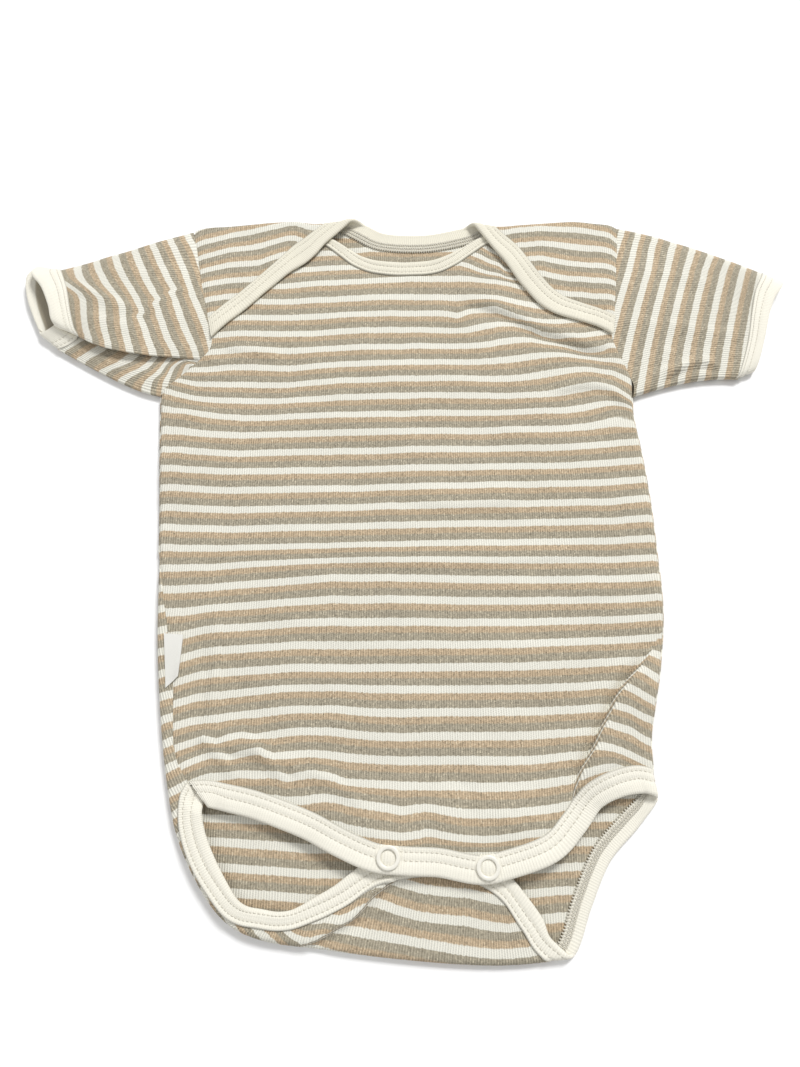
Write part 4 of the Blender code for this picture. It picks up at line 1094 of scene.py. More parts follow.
def needle_rows(binding):
    """Starts, ends and normals of the stitches that show in rows along a binding's outer face."""
    starts, finishes, ups = [], [], []
    first = stitch_starts(binding, STITCH_LENGTH)
    for row in STITCH_ROWS:
        width = np.interp(first, binding.run, binding.size)
        place, _ = binding.face(first + STITCH_LENGTH / 2, np.full(len(first), row))
        shown = width > row + STITCH_ROOM
        for x, y in SNAPS.values():
            shown &= np.hypot(place[:, 0] - x, place[:, 1] - y) > SNAP_OUTER + 0.6
        across = np.full(shown.sum(), row)
        begin, up = binding.face(first[shown] + STITCH_START, across)
        finish, _ = binding.face(first[shown] + STITCH_LENGTH - STITCH_GAP, across)
        rise = strip_top(np.array(row), width[shown])[:, None] + STITCH_LIFT
        starts.append(begin + up * rise)
        finishes.append(finish + up * rise)
        ups.append(up)
    return np.vstack(starts), np.vstack(finishes), np.vstack(ups)


def cover_rows(binding, reach):
    """The covering threads on a binding's inner face: teeth over its sewn edge, and a lattice beyond."""
    first = stitch_starts(binding, COVER_PITCH)
    up = binding.face(first, np.zeros(len(first)))[1]

    def at(share, across, drop=1.10):
        return binding.face(first + share * COVER_PITCH, np.full(len(first), across))[0] - up * drop

    low, high, back = at(0, -1.0, 0.30), at(0.25, 1.2), at(0.75, 1.0)
    near, middle, far = at(0, 0.9), at(0.5, (0.9 + reach) / 2), at(1.0, reach)
    starts, finishes = zip(
        (low, high), (back[:-1], low[1:]), (near, middle), (middle[:-1], near[1:]), (middle, far),
        (far[:-1], middle[1:]),
    )
    return np.vstack(starts), np.vstack(finishes), np.vstack([-up[:len(start)] for start in starts])


# ---- Panels and bindings ---------------------------------------------------------------------


def placed(groups, fold):
    """Points that are grouped by what they lie on, as points of the flat cut."""
    plan = np.array([point for _, points in groups for point in points])
    turned_over = np.array([lies_on != "floor" for lies_on, points in groups for _ in points])
    return np.where(turned_over[:, None], fold.opened(plan), plan)


def joined(*edges):
    """One outline from its edges in order, without an edge's last point where the next one starts."""
    kept = []
    for edge, following in zip(edges, edges[1:] + edges[:1]):
        close = np.linalg.norm(edge[-1, :2] - following[0, :2]) < 1.0
        kept.append(edge[:-1, :2] if close else edge[:, :2])
    return np.vstack(kept)


right_side = right_fold.points + right_fold.out * (math.pi / 2 * right_fold.radius)[:, None]
right_side = right_side[(right_side[:, 1] > -103) & (right_side[:, 1] < 75.5)]
fold_x, fold_y = body_fold.points.T
side_span = (fold_y > -109.6) & (fold_y < 75.8) & (fold_x < -80)
seam_y, seam_arc = np.array(SIDE_SEAM[::-1]).T
seam_round = np.interp(body_fold.points[side_span, 1], seam_y, seam_arc)
half_turn = math.pi * body_fold.radius[side_span]
left_start, left_out = body_fold.points[side_span], body_fold.out[side_span]
left_side_of_back = left_start + left_out * seam_round[:, None]
left_side_of_front = left_start + left_out * (half_turn - seam_round)[:, None]
right_armhole = curve(RIGHT_ARMHOLE)
left_armhole = curve(LEFT_ARMHOLE)
front_neck = curve(FRONT_NECK, BOUND_STEP)
front_legs = curve(FRONT_LEGS, BOUND_STEP)
back_neck = curve(placed(BACK_NECK, shoulder_fold), BOUND_STEP)
back_legs = curve(np.column_stack([placed(BACK_LEGS, body_fold), BACK_LEG_WIDTHS]), BOUND_STEP)


def spread(outline):
    """The size and the area that an outline covers, in metres."""
    x, y = outline.T * MM
    width, length = np.ptp(x), np.ptp(y)
    area = abs(x @ np.roll(y, -1) - y @ np.roll(x, -1)) / 2
    return {"flat": (float(width), float(length)), "area": float(area)}


def bodice(name, edges, lay, fixed, stripes, fabric):
    """A panel from its six edges: right side and armhole, neck, left armhole and side, and legs."""
    right, right_hole, neck, left_hole, left, legs = (spaced(edge, EDGE_STEP) for edge in edges)
    neck, legs = moved_out(neck, HIDE), moved_out(legs, HIDE)
    outline = joined(right, right_hole, neck, left_hole, left, legs)
    seams = np.vstack([right, right_hole, left_hole, left])
    folds = np.vstack([fold_rows(body_fold), fold_rows(right_fold)])
    fixed = np.vstack([folds[folds[:, 1] < 74], *fixed])
    cloth = panel(name, outline, seams, np.vstack([neck, legs]), lay, fixed, stripes, fabric)
    return cloth, spread(outline)


def make_front_cloth(fabric):
    right_hole = right_armhole[right_armhole[:, 1] < 169.0]
    left_hole = left_armhole[left_armhole[:, 1] < 169.0]
    edges = (right_side, right_hole, front_neck, left_hole, left_side_of_front, front_legs)
    hip = spaced(hip_edge.points, 1.2)
    hip = hip[hip[:, 0] < 108]
    hip_rows = [moved_out(hip, way) for way in (-1.1, -0.35, 0.4, 1.2)]
    return bodice("front_cloth", edges, lay_front, hip_rows, front_stripes, fabric)


def make_back_cloth(fabric):
    right_y, left_y = right_armhole[:, 1], left_armhole[:, 1]
    right_lap = shoulder_fold.opened(right_armhole[right_y > 121.6])[::-1]
    left_lap = shoulder_fold.opened(left_armhole[left_y > 119.6])[::-1]
    right_hole = np.vstack([right_armhole[right_y < 177.0], right_lap[right_lap[:, 1] > 186.0]])
    left_hole = np.vstack([left_lap[left_lap[:, 1] > 184.0], left_armhole[left_y < 174.0]])
    edges = (right_side, right_hole, back_neck, left_hole, left_side_of_back, back_legs)
    level = spaced(shoulder_fold.points, FOLD_STEP)
    turns = np.linspace(0, math.pi * shoulder_fold.radius.mean(), FOLD_TURNS)
    flap_rows = [moved_out(spaced(flap_edge.points, 1.2), way) for way in (-0.3, 0.3)]
    fixed = [level + (0, way) for way in turns] + [body_fold.opened(np.vstack(flap_rows))]
    return bodice("back_cloth", edges, lay_back, fixed, back_stripes, fabric)


# ---- Sleeves ---------------------------------------------------------------------------------


def down_armhole(rows, share):
    """Points on an armhole, by their share of the way from the shoulder to the underarm."""
    line = curve(rows if rows[0][1] > rows[-1][1] else rows[::-1])
    return read_at(np.clip(share, 0, 1) * (len(line) - 1), np.arange(len(line)), line)


class Sleeve:
    """A sleeve and its cuff: tubes whose rings run over the top and back below."""

    def __init__(self, armhole_rows, rows, turn_way):
        self.turn_way = turn_way  # 1 or -1, so that the walls' outer side is outside
        self.row = np.linspace(0, len(rows), SLEEVE_AROUND, endpoint=False)

        def ring(columns):
            return spline(columns, self.row, closed=True)

        start = ring([(row.share, row.height) for row in rows])
        plan = down_armhole(armhole_rows, start[:, 0])
        top = ease(start[:, 1], 2.6, 4.4)
        lap = (LAP_RISE + LAP_LOFT * by_shoulder(plan)) * ease(plan[:, 1], 104, 120)
        level = np.minimum(front_height(plan) + lap, start[:, 1] + 0.9)
        height = start[:, 1] * (1 - top) + level * top - ARMHOLE_DIP * top
        self.start = np.column_stack([plan, height])
        self.middle = ring([row.middle for row in rows])
        self.cuff = ring([row.cuff for row in rows])
        self.mouth = ring([row.mouth for row in rows])
        self.width = float(np.linalg.norm(self.mouth - self.cuff, axis=1).mean())

    def along(self, share):
        """The ring at a share of the way from the armhole to the cuff."""
        return (
            self.start * (1 - share) * (1 - 2 * share)
            + self.middle * 4 * share * (1 - share)
            + self.cuff * share * (2 * share - 1)
        )

    def wall(self, name, stack, above, below, marks, fabric, inner_side_and_shade_mark=1.0):
        """A closed wall of cloth about a run of rings, kept on the surface."""
        around_way = np.roll(stack, -1, axis=1) - np.roll(stack, 1, axis=1)
        along_way = np.gradient(stack, axis=0)
        normal = unit(np.cross(around_way, along_way)) * self.turn_way
        outer = stack + normal * above[:, None, None]
        inner = stack - normal * below[:, None, None]
        outer[:, :, 2] = np.maximum(outer[:, :, 2], 0.0)
        loops = np.concatenate([outer, inner[::-1]])
        inner_marks = marks.copy()
        inner_marks[:, :, 2] += np.reshape(inner_side_and_shade_mark, (-1, 1))
        places = np.concatenate([marks, inner_marks[::-1]])
        rings, marks = list(loops.transpose(1, 0, 2)), list(places.transpose(1, 0, 2))
        return swept(name, rings, marks, fabric, closed=True)

    def stripes(self, stack):
        """The stripe coordinate at each place of the sleeve."""
        x, y = stack[:, :, 0].ravel(), stack[:, :, 1].ravel()
        if self.turn_way > 0:  # the right sleeve
            up = y - RIGHT_STRIPE_Y
            stripe_x = RIGHT_STRIPE_X + RIGHT_STRIPE_LEAN * up + RIGHT_STRIPE_BEND * up**2
            high = ease(y, 148, 166)
            v = (stripe_x - x) / (REPEAT + 1.1 * high) * REPEAT + CREAM_AT
            v += 3.2 * high * (1 - ease(x, 110, 136))
        else:
            row = np.tile(self.row, len(stack))
            under = ease(row, 5.6, 6.4) * (1 - ease(row, 8.2, 9.4))
            v = counted(y, x, *LEFT_LINES) * (1 - under) + counted(y, x, *LEFT_UNDER_LINES) * under
        return v.reshape(stack.shape[:2])

    def cloth(self, name, creases, fabric):
        shares = np.linspace(0, 1.0, SLEEVE_ALONG)
        stack = np.stack([self.along(share) for share in shares])
        ring = self.along(0.5)
        flat = stack.reshape(-1, 3)
        top = ease(flat[:, 2], 3.2, 4.6)
        flat[:, 2] += top * (relief(flat[:, :2], creases) + unevenness(flat[:, :2], FRONT_WAVES))
        flat[:, 2] -= ARMHOLE_DIP * top * (1 - ease(np.repeat(shares, len(ring)), 0, 0.035))
        stack = flat.reshape(stack.shape)
        run = np.repeat(run_along(ring)[None, :], len(shares), axis=0)
        marks = np.stack([run, self.stripes(stack), np.zeros_like(run)], axis=2)
        tail = stack[-1] + unit(stack[-1] - stack[-2]) * 1.4
        stack = np.concatenate([stack, tail[None]])
        marks = np.concatenate([marks, marks[-1:]])
        half = np.full(len(stack), CLOTH / 2)
        half[-1] = CLOTH * 0.36
        stack[:, :, 2] = np.maximum(stack[:, :, 2], FLOOR)
        return self.wall(name, stack, half, half, marks, fabric)

    def cuff_at(self, across):
        """The ring round the cuff's binding at this distance from its sewn edge."""
        place = self.cuff + (self.mouth - self.cuff) * (across / self.width)
        place[:, 2] = np.maximum(place[:, 2] + BINDING / 2 - FLOOR, BINDING / 2)
        return place

    def cuff_binding(self, name, rib):
        """The cuff's strip, and how far it is round its sewn part."""
        flat = self.width - RIM
        rounded = flat + 1.5 * np.sin(np.linspace(0.35, 1.45, 5))
        across = np.concatenate([[0.0], np.linspace(0.25, flat, 16), rounded])
        above = strip_top(across, self.width)
        above[0] = SEWN_EDGE
        turned = (across - flat) / RIM
        bend = np.where(turned > 0, np.sqrt(np.clip(1 - turned**2, 0.02, 1)), 1.0)
        stack = np.stack([self.cuff_at(place) for place in across])
        run = run_along(stack[5])
        marks = np.zeros(stack.shape)
        marks[:, :, 0] = run
        marks[:, :, 1] = across[:, None]
        # painted shade: the inner face's mark rises from 1 at the mouth to 3 deep inside, where the
        # binding is painted in the stone colour
        depth = 1 + 2 * ease(self.width - across, 4.2, 6.6)
        return self.wall(name, stack, above * bend, INNER_FACE * bend, marks, rib, depth), float(run[-1])

    def cuff_stitches(self, name, thread):
        starts, ends, ups = [], [], []
        for row in STITCH_ROWS:
            here, farther = self.cuff_at(row), self.cuff_at(row + 0.5)
            around_way = np.roll(here, -1, axis=0) - np.roll(here, 1, axis=0)
            up = unit(np.cross(around_way, farther - here)) * self.turn_way
            loop, up = np.vstack([here, here[:1]]), np.vstack([up, up[:1]])
            run = run_along(loop)
            count = int(run[-1] / STITCH_LENGTH)
            first = np.arange(count) * run[-1] / count
            normal = unit(read_at(first + 1, run, up))
            lift = normal * (float(strip_top(np.array(row), self.width)) + STITCH_LIFT)
            starts.append(read_at(first + STITCH_START, run, loop) + lift)
            ends.append(read_at(first + STITCH_LENGTH - STITCH_GAP, run, loop) + lift)
            ups.append(normal)
        return sewn(name, np.vstack(starts), np.vstack(ends), np.vstack(ups), STITCH_THREAD, thread)


# ---- Materials -------------------------------------------------------------------------------


class Wire:
    """A shader socket that takes part in arithmetic."""

    def __init__(self, graph, socket):
        self.graph = graph
        self.socket = socket

    def maths(self, operation, first, second=None):
        values = {0: first} if second is None else {0: first, 1: second}
        return self.graph.node("ShaderNodeMath", {"operation": operation}, values)

    def __add__(self, other):
        return self.maths("ADD", self, other)

    def __sub__(self, other):
        return self.maths("SUBTRACT", self, other)

    def __rsub__(self, other):
        return self.maths("SUBTRACT", other, self)

    def __mul__(self, other):
        return self.maths("MULTIPLY", self, other)

    def __truediv__(self, other):
        return self.maths("DIVIDE", self, other)

    def __pow__(self, other):
        return self.maths("POWER", self, other)

    __radd__ = __add__
    __rmul__ = __mul__

    def floor(self):
        return self.maths("FLOOR", self)

    def fraction(self):
        return self.maths("FRACT", self)

    def cosine(self):
        return self.maths("COSINE", self)

    def absolute(self):
        return self.maths("ABSOLUTE", self)

    def wave(self):
        """1 at each whole number and 0 halfway between."""
        return (self * (2 * math.pi)).cosine() * 0.5 + 0.5

    def step(self, low, high):
        """0 at low, 1 at high, and a smooth climb between."""
        sockets = {"Value": self, "From Min": low, "From Max": high}
        return self.graph.node("ShaderNodeMapRange", {"interpolation_type": "SMOOTHSTEP"}, sockets)


class Graph:
    """A material's nodes."""

    def __init__(self, name):
        self.material = bpy.data.materials.new(name)
        self.material.use_nodes = True
        self.nodes = self.material.node_tree.nodes
        self.links = self.material.node_tree.links
        self.shader = self.nodes["Principled BSDF"]

    def node(self, kind, settings=None, sockets=None, output=0):
        made = self.nodes.new(kind)
        for name, value in (settings or {}).items():
            setattr(made, name, value)
        for name, value in (sockets or {}).items():
            self.feed(made.inputs[name], value)
        return Wire(self, made.outputs[output])

    def feed(self, socket, value):
        if isinstance(value, Wire):
            self.links.new(value.socket, socket)
        else:
            socket.default_value = value

    def vector(self, x, y, z=0.0):
        return self.node("ShaderNodeCombineXYZ", None, {"X": x, "Y": y, "Z": z})

    def noise(self, where, scale, detail=2.0):
        return self.node("ShaderNodeTexNoise", None, {"Vector": where, "Scale": scale, "Detail": detail})

    def ramp(self, factor, stops):
        made = self.nodes.new("ShaderNodeValToRGB")
        band = made.color_ramp
        for _ in range(len(stops) - 2):
            band.elements.new(0.5)
        for element, (place, colour) in zip(band.elements, stops):
            element.position = place
            element.color = (*colour, 1)
        self.feed(made.inputs[0], factor)
        return Wire(self, made.outputs[0])

    def blend(self, factor, first, second, kind="MIX"):
        """Two colours mixed, or one laid over the other in the given way."""
        settings = {"data_type": "RGBA", "blend_type": kind}
        return self.node("ShaderNodeMix", settings, {"Factor": factor, 6: first, 7: second}, output=2)

    def cut(self):
        """The three numbers of the mesh's place in the cut."""
        place = self.nodes.new("ShaderNodeAttribute")
        place.attribute_name = "cut"
        parts = self.nodes.new("ShaderNodeSeparateXYZ")
        self.links.new(place.outputs["Vector"], parts.inputs[0])
        return [Wire(self, output) for output in parts.outputs]

    def object_place(self):
        return self.node("ShaderNodeTexCoord", output=3)

    def surface(self, colour, shade, finish, height=None, depth=0.0):
        """Joins up the shader: a colour times a shade, a relief so many metres deep, and the rest."""
        tinted = self.blend(1.0, colour, self.vector(shade, shade, shade), "MULTIPLY")
        sockets = {"Base Color": tinted, **finish}
        if height is not None:
            bump = {"Height": height, "Distance": depth, "Strength": 1.0}
            sockets["Normal"] = self.node("ShaderNodeBump", None, bump)
        for name, value in sockets.items():
            self.feed(self.shader.inputs[name], value)


# Soft cotton: no gloss to speak of, and a faint nap that catches light at grazing angles
COTTON = {"Roughness": 0.93, "Specular IOR Level": 0.18, "Sheen Weight": 0.12, "Sheen Roughness": 0.5}


def rib_relief(graph, u, v, pitch):
    """Ribs that wander a little: how high each point stands, its loops and its rib."""
    sway = graph.noise(graph.vector(u * 0.05, v * 0.05), 1.0, 1.0)
    ribs = u / pitch + (sway - 0.5) * 1.2
    loops = (v / 0.85 + (ribs.floor() * 0.5).fraction()).wave()
    return ribs.wave(), loops, ribs.floor()


def striped_rib(graph, look):
    """Heathered stripes that step a little from rib to rib, with painted shade in the grooves between the
    ribs and between the loops.
    """
    u, v, _ = graph.cut()
    wave, loops, rib = rib_relief(graph, u, v, look.rib_pitch)
    jagged = graph.node("ShaderNodeTexWhiteNoise", {"noise_dimensions": "1D"}, {"W": rib})
    drift = graph.noise(graph.vector(u * 0.08, v * 0.08), 1.0, 1.0)
    place = (CREAM_AT - v) / look.repeat + CREAM_MIDDLE + (jagged - 0.5) * 0.030 + (drift - 0.5) * 0.03
    share = place.fraction()
    stripes = graph.ramp(share, [(start, getattr(look, colour)) for start, colour in STRIPES])
    dyed = share.step(0.35, 0.40) * (1 - share.step(0.985, 1.0))
    streak = graph.noise(graph.vector(u * 0.42, v * 1.9), 1.0, 2.0)
    yarn = graph.vector((u / 0.50).floor(), (v / 0.75 + streak * 2.0).floor())
    fleck = graph.node("ShaderNodeTexWhiteNoise", {"noise_dimensions": "2D"}, {"Vector": yarn})
    heather = (streak - 0.5) * 0.70 + (fleck - 0.5) * 0.36
    groove_shade = (1 - wave) ** 2
    broad = graph.noise(graph.object_place(), 26.0, 3.0)
    shade = 1 + heather * (dyed * 0.75 + 0.10)
    # painted shade: darker in the grooves between the ribs and in the dips between the loops
    shade = shade * (1 - groove_shade * (0.26 + dyed * 0.08)) * (0.965 + loops * 0.07)
    shade = shade * (1 + (broad - 0.5) * 0.10)
    warm = graph.blend(dyed * fleck.step(0.90, 1.0) * 0.40, stripes, (0.70, 0.62, 0.46, 1))
    dark = graph.blend(dyed * (1 - fleck.step(0.0, 0.10)) * 0.35, warm, (0.20, 0.17, 0.12, 1))
    fuzz = graph.noise(graph.object_place(), 2600.0, 2.0)
    graph.surface(dark, shade, COTTON, wave * 0.75 + loops * 0.16 + fuzz * 0.28, look.rib_depth)


def cream_rib(graph, look, shaded_colour=None, looper_shadow_strength=0.0):
    """A binding's rib: ribs across the strip, with needle holes in two rows.

    The third number of its cut is 0 on the outer face, 1 on the inner one and under a snap, and up
    to 3 deep inside a cuff, where the binding is painted in the stone colour as painted shade. Painted
    shade also darkens the grooves, the needle holes, a line along the sewn edge and, when asked for,
    the inner face under the covering threads.
    """
    u, v, side = graph.cut()
    wave, loops, _ = rib_relief(graph, u, v, look.rib_pitch)
    stitch = (u / STITCH_LENGTH + 0.5).fraction() - 0.5
    across, other = ((v - row).absolute() for row in STITCH_ROWS)
    across = across.maths("MINIMUM", across, other)
    far = (stitch * stitch * STITCH_LENGTH**2 + across * across) ** 0.5
    inner = side.step(0.4, 0.6)
    # painted shade: the needle holes are darkened in the colour as well as sunk in the bump
    hole = (1 - far.step(0.10, 0.34)) * (1 - inner)
    # painted shadow: a dark line along the binding's sewn edge, on its outer face
    edge = (1 - v.step(0.1, 0.8)) * (1 - inner)
    # painted shadow of the covering threads on the inner face near the sewn edge; only the neck rib asks
    # for it
    looper_shadow = inner * (1 - v.step(3.6, 5.2))
    fuzz = graph.noise(graph.object_place(), 2200.0, 3.0)
    broad = graph.noise(graph.object_place(), 60.0, 2.0)
    # painted shade: darker in the grooves between the ribs and in the dips between the loops; fuzz and
    # broad are random tone
    shade = (1 - (1 - wave) ** 2 * 0.08) * (0.985 + loops * 0.03) * (0.94 + fuzz * 0.06 + broad * 0.06)
    shade = shade * (1 - hole * 0.30) * (1 - edge * 0.35) * (1 - looper_shadow * looper_shadow_strength)
    # painted shade: deep inside a cuff the cream gives way to the darker stone colour
    colour = graph.blend(side.step(1.3, 3.0), (*(shaded_colour or look.binding), 1), (*look.stone, 1))
    height = wave * 0.7 + loops * 0.15 + fuzz * 0.35 - hole * 1.2
    graph.surface(colour, shade, COTTON, height, look.rib_depth * 0.5)


# painted shade: the binding's rib in a darker cream, to offset the stronger light on the top of the
# garment, with a faint painted shadow under its covering threads
def shaded_neck_rib(graph, look):
    cream_rib(graph, look, tuple(look.neck), 0.06)


def sewing_thread(graph, look):
    u, v, _ = graph.cut()
    twist = (u * 1.9 + v * 2.4).wave()
    fuzz = graph.noise(graph.object_place(), 3000.0, 2.0)
    finish = {"Roughness": 0.7, "Specular IOR Level": 0.3}
    # painted shade: the thread is darker between its twists, as well as in the bump
    graph.surface((*look.thread, 1), 0.86 + twist * 0.10 + fuzz * 0.06, finish, twist, 0.00006)


def snap_enamel(graph, look):
    mottle = graph.noise(graph.object_place(), 900.0, 3.0)
    scuff = graph.noise(graph.object_place(), 3500.0, 2.0)
    finish = {"Roughness": 0.30 + scuff * 0.16, "Coat Weight": 0.25, "Coat Roughness": 0.2}
    graph.surface((*look.enamel, 1), 0.95 + mottle * 0.08, finish, scuff, 0.00002)


def label_tape(graph, look):
    u, v, _ = graph.cut()
    warp, weft = (u / 0.28).wave(), (v / 0.34).wave()
    weave = warp * (1 - weft) + weft * (1 - warp)
    fuzz = graph.noise(graph.object_place(), 1500.0, 2.0)
    finish = {"Roughness": 0.62, "Specular IOR Level": 0.3}
    # painted shade: the tape is darker where the weave dips, as well as in the bump
    graph.surface((*look.tape, 1), 0.90 + weave * 0.08 + fuzz * 0.05, finish, weave, 0.00005)


def pale_floor(graph, look):
    mottle = graph.noise(graph.object_place(), 6.0, 2.0)
    finish = {"Roughness": 0.9, "Specular IOR Level": 0.1}
    graph.surface((*look.floor, 1), 0.985 + mottle * 0.02, finish)


MAKERS = {
    "striped_rib_knit": striped_rib,
    "cream_binding_rib": cream_rib,
    "cream_neck_rib_painted_shade": shaded_neck_rib,
    "cream_sewing_thread": sewing_thread,
    "cream_snap_enamel": snap_enamel,
    "white_woven_tape": label_tape,
    "pale_floor": pale_floor,
}


def material(name):
    """The named material, made on its first use."""
    if name not in bpy.data.materials:
        MAKERS[name](Graph(name), bpy.context.scene.bodysuit)
    return bpy.data.materials[name]


# ---- Properties ------------------------------------------------------------------------------


def colour_property(name, described, default):
    return bpy.props.FloatVectorProperty(
        name=name, description=described, default=default, size=3, min=0, max=1, subtype="COLOR"
    )


def number_property(name, described, default, low, high, **more):
    return bpy.props.FloatProperty(
        name=name, description=described, default=default, min=low, max=high, **more
    )


class BodysuitLook(bpy.types.PropertyGroup):
    """Sizes and colours of the bodysuit, its light and its lens"""

    repeat: number_property(
        "Stripe repeat", "From one cream stripe to the next, in millimetres", REPEAT, 4, 40
    )
    rib_pitch: number_property("Rib pitch", "From one rib to the next, in millimetres", 1.1, 0.5, 4)
    rib_depth: number_property(
        "Rib depth", "How deep the grooves between the ribs are", 0.00028, 0, 0.002,
        unit="LENGTH", precision=5,
    )
    cream: colour_property("Cream stripe", "Colour of the undyed stripe", (0.83, 0.810, 0.715))
    tan: colour_property("Tan stripe", "Colour of the warm stripe", (0.555, 0.432, 0.290))
    stone: colour_property("Stone stripe", "Colour of the grey-beige stripe", (0.416, 0.372, 0.282))
    binding: colour_property("Binding", "Colour of the rib round cuffs and legs", (0.83, 0.80, 0.70))
    # painted shade: the binding's cream made darker for the neck and laps, where the light falls stronger
    neck: colour_property("Neck binding", "Colour of the rib round neck and laps", (0.745, 0.71, 0.595))
    thread: colour_property("Thread", "Colour of the sewing thread", (0.78, 0.745, 0.645))
    enamel: colour_property("Snap enamel", "Colour of the ring snaps", (0.80, 0.775, 0.69))
    tape: colour_property("Label tape", "Colour of the blank label", (0.78, 0.77, 0.72))
    floor: colour_property("Floor", "Colour of the surface below", (0.93, 0.93, 0.93))
    light: number_property("Light", "Strength that the lamps share out", 20.7, 0, 200, unit="POWER")
    sky: number_property("Sky", "Strength of the pale surroundings", 0.44, 0, 5)
    lens: number_property("Lens", "Focal length of the camera in millimetres", 26.99, 10, 200)


# ---- Operators -------------------------------------------------------------------------------


class BODYSUIT_OT_front(bpy.types.Operator):
    """Make the striped front"""

    bl_idname = "bodysuit.front"
    bl_label = "Front"

    def execute(self, context):
        cloth, size = make_front_cloth(material("striped_rib_knit"))
        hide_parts("front_panel")
        return {"FINISHED"}


class BODYSUIT_OT_back(bpy.types.Operator):
    """Make the striped back with its laps and its crotch flap"""

    bl_idname = "bodysuit.back"
    bl_label = "Back"

    def execute(self, context):
        cloth, size = make_back_cloth(material("striped_rib_knit"))
        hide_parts("back_panel")
        return {"FINISHED"}


class BODYSUIT_OT_sleeves(bpy.types.Operator):
    """Make the sleeves with their bound cuffs"""

    bl_idname = "bodysuit.sleeves"
    bl_label = "Sleeves"

    def execute(self, context):
        sleeves = {
            "right": Sleeve(RIGHT_ARMHOLE, RIGHT_SLEEVE, 1),
            "left": Sleeve(LEFT_ARMHOLE, LEFT_SLEEVE, -1),
        }
        for side, sleeve in sleeves.items():
            creases = with_lines(SLEEVE_CREASES[side])
            cloth = sleeve.cloth(f"sleeve_{side}_cloth", creases, material("striped_rib_knit"))
            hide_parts(f"sleeve_{side}")
            cuff, around = sleeve.cuff_binding(f"cuff_{side}_strip", material("cream_binding_rib"))
            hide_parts(f"cuff_binding_{side}")
            stitches = sleeve.cuff_stitches(f"cuff_{side}_stitches", material("cream_sewing_thread"))
        return {"FINISHED"}


class BODYSUIT_OT_bindings(bpy.types.Operator):
    """Make the neck and leg bindings with their stitches"""

    bl_idname = "bodysuit.bindings"
    bl_label = "Bindings"

    def execute(self, context):
        thread = material("cream_sewing_thread")
        ends = front_neck[0, :2] + (0.4, 5), front_neck[-1, :2] + (-0.4, 5)
        tips = shoulder_fold.opened(np.array(LAP_TIPS))
        leg_ends = placed(BACK_LEG_ENDS, body_fold)
        strips = {
            "neck_binding_front": Binding(front_neck, *ends, lay_front, 1, front_neck[:, 2]),
            "leg_binding_front": Binding(front_legs, *FRONT_LEG_ENDS, lay_front, 1),
            "neck_binding_back": Binding(back_neck, *tips, lay_back, -1),
            "leg_binding_back": Binding(back_legs, *leg_ends, lay_back, -1, back_legs[:, 2]),
        }
        for node, strip in strips.items():
            name = node.replace("_binding", "_strip")
            # the neck and laps take the shaded copy of the binding rib, a painted shade
            rib = material("cream_neck_rib_painted_shade" if node.startswith("neck") else "cream_binding_rib")
            piece = strip.mesh(name, rib, SNAPS.values() if node == "leg_binding_front" else ())
            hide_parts(node)
            width = max(float(strip.size.mean()), 10.0) * MM
            area = float((strip.size[1:] + strip.size[:-1]) @ np.diff(strip.run)) / 2 * MM * MM
            strip.length() * MM
            min(area, width * strip.length() * MM)
            stitches = sewn(name + "_stitches", *needle_rows(strip), STITCH_THREAD, thread)
            if node.endswith("back"):
                reach = 4.8 if node.startswith("neck") else 3.4
                loops = sewn(name + "_loopers", *cover_rows(strip, reach), COVER_THREAD, thread)
        return {"FINISHED"}


class BODYSUIT_OT_snaps(bpy.types.Operator):
    """Make the ring snaps and finish the parts between the layers"""

    bl_idname = "bodysuit.snaps"
    bl_label = "Snaps"

    def execute(self, context):
        enamel = material("cream_snap_enamel")
        for side, (x, y) in SNAPS.items():
            low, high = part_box(f"snap_ring_{side}")
            tube = (SNAP_OUTER - SNAP_HOLE) / 2 * MM
            bpy.ops.object.select_all(action="DESELECT")
            bpy.ops.mesh.primitive_torus_add(
                location=(x * MM, y * MM, (low[2] + high[2]) / 2), major_radius=(SNAP_HOLE * MM) + tube,
                minor_radius=tube, major_segments=72, minor_segments=20,
            )
            ring = bpy.context.active_object
            ring.name = ring.data.name = f"snap_ring_{side}_enamel"
            bpy.ops.object.mode_set(mode="EDIT")
            bpy.ops.mesh.select_all(action="SELECT")
            bpy.ops.transform.resize(value=(1, 1, (high[2] - low[2]) / (2 * tube)))
            bpy.ops.object.mode_set(mode="OBJECT")
            bpy.ops.object.transform_apply(location=True, rotation=True, scale=True)
            bpy.ops.object.shade_smooth()
            ring.data.materials.append(enamel)
            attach(ring, "root")
            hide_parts(f"snap_ring_{side}")
        for node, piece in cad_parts.items():
            if node.startswith("snap_"):
                for slot in piece.material_slots:
                    slot.material = enamel
        return {"FINISHED"}


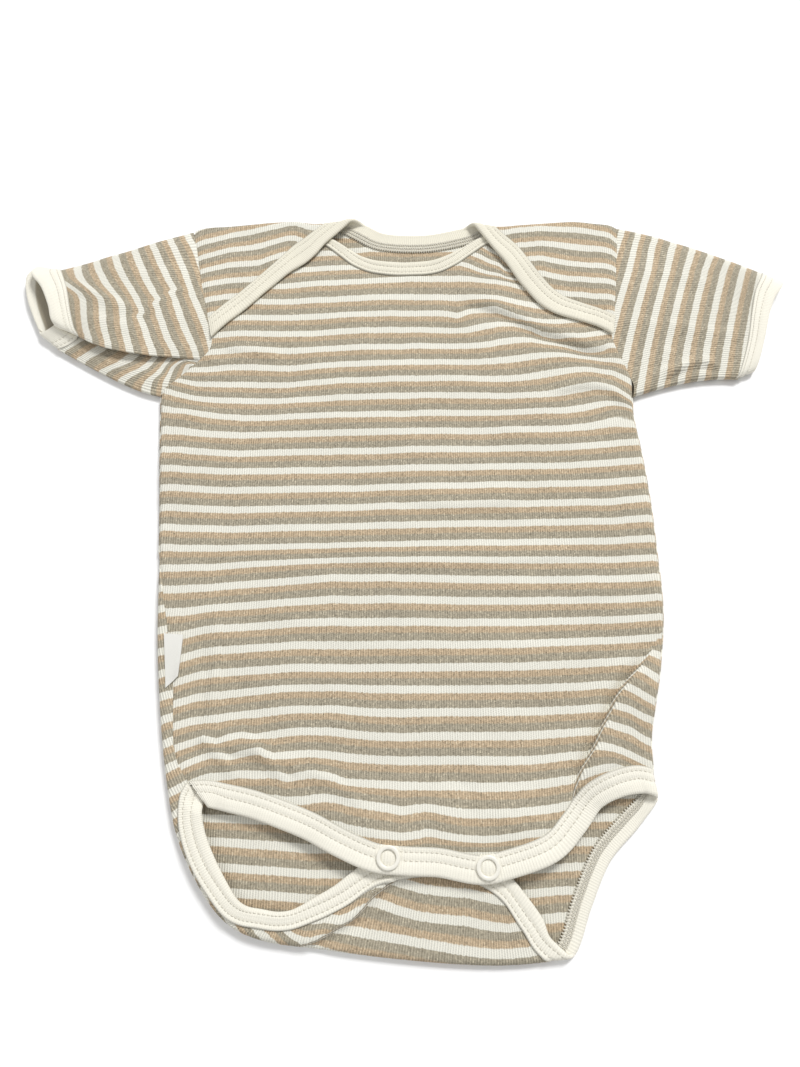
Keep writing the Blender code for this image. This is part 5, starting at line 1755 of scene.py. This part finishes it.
class BODYSUIT_OT_label(bpy.types.Operator):
    """Make the blank side label"""

    bl_idname = "bodysuit.label"
    bl_label = "Label"

    def execute(self, context):
        corners = np.array(LABEL_CORNERS)
        across, along = 12, 24
        u, v = np.meshgrid(np.linspace(0, 1, across + 1), np.linspace(0, 1, along + 1))
        u, v = u.reshape(-1, 1), v.reshape(-1, 1)
        top = corners[0] * (1 - u) + corners[1] * u
        bottom = corners[3] * (1 - u) + corners[2] * u
        plan = top * (1 - v) + bottom * v
        curl = 0.5 * ease(u[:, 0], 0.4, 1.0) * ease(v[:, 0], 0.2, 1.0) + 0.12 * np.sin(7 * v[:, 0])
        lift = front_height(plan) + CLOTH / 2 + LABEL_LIFT + curl
        grid = np.column_stack([plan, lift]).reshape(along + 1, across + 1, 3)
        half = np.array((0, 0, LABEL_HALF))
        rings = [np.vstack([row + half, row[::-1] - half]) for row in grid]
        marks = np.column_stack([u[:, 0] * 9, v[:, 0] * 22, np.zeros(len(u))]).reshape(grid.shape)
        marks = [np.vstack([row, row[::-1]]) for row in marks]
        tape = swept("side_label_tape", rings, marks, material("white_woven_tape"))
        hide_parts("side_label")
        return {"FINISHED"}


class BODYSUIT_OT_stage(bpy.types.Operator):
    """Lay out the floor, the light and the camera"""

    bl_idname = "bodysuit.stage"
    bl_label = "Stage"

    def execute(self, context):
        look = context.scene.bodysuit
        bpy.ops.object.select_all(action="DESELECT")
        bpy.ops.mesh.primitive_plane_add(size=6, location=(0, 0, -0.0002))
        floor = bpy.context.active_object
        floor.name = floor.data.name = "floor"
        bpy.ops.object.transform_apply(location=True, rotation=True, scale=True)
        floor.data.materials.append(material("pale_floor"))
        world = bpy.data.worlds.new("pale_room")
        world.use_nodes = True
        background = world.node_tree.nodes["Background"]
        background.inputs["Color"].default_value = (1, 1, 1, 1)
        background.inputs["Strength"].default_value = look.sky
        bpy.context.scene.world = world
        for name, (place, turned, size, share) in LAMPS.items():
            lamp = bpy.data.lights.new(name, "AREA")
            lamp.shape = "SQUARE"
            lamp.size = size
            lamp.energy = look.light * share
            holder = bpy.data.objects.new(name, lamp)
            holder.location = place
            holder.rotation_euler = [math.radians(angle) for angle in turned]
            bpy.context.scene.collection.objects.link(holder)
        lens = bpy.data.cameras.new("camera")
        lens.lens = look.lens
        lens.sensor_width = 36
        lens.clip_start = 0.01
        lens.clip_end = 20
        camera = bpy.data.objects.new("camera", lens)
        camera.location = CAMERA_PLACE
        camera.rotation_euler = (math.radians(CAMERA_TILT), 0, 0)
        bpy.context.scene.collection.objects.link(camera)
        bpy.context.scene.camera = camera
        bpy.context.scene.view_settings.view_transform = "Standard"
        return {"FINISHED"}


STEPS = (
    BODYSUIT_OT_back, BODYSUIT_OT_front, BODYSUIT_OT_sleeves, BODYSUIT_OT_bindings, BODYSUIT_OT_snaps,
    BODYSUIT_OT_label, BODYSUIT_OT_stage,
)


class BODYSUIT_PT_steps(bpy.types.Panel):
    """The steps in the sidebar"""

    bl_label = "Bodysuit"
    bl_space_type = "VIEW_3D"
    bl_region_type = "UI"
    bl_category = "Bodysuit"

    def draw(self, context):
        look = context.scene.bodysuit
        for name in look.bl_rna.properties.keys():
            if name not in ("rna_type", "name"):
                self.layout.prop(look, name)
        for step in STEPS:
            self.layout.operator(step.bl_idname)


CLASSES = (BodysuitLook, *STEPS, BODYSUIT_PT_steps)


def register():
    for group in CLASSES:
        bpy.utils.register_class(group)
    bpy.types.Scene.bodysuit = bpy.props.PointerProperty(type=BodysuitLook)


def unregister():
    del bpy.types.Scene.bodysuit
    for group in reversed(CLASSES):
        bpy.utils.unregister_class(group)


def main():
    register()
    for step in STEPS:
        family, name = step.bl_idname.split(".")
        getattr(getattr(bpy.ops, family), name)()


if __name__ == "__main__":
    main()
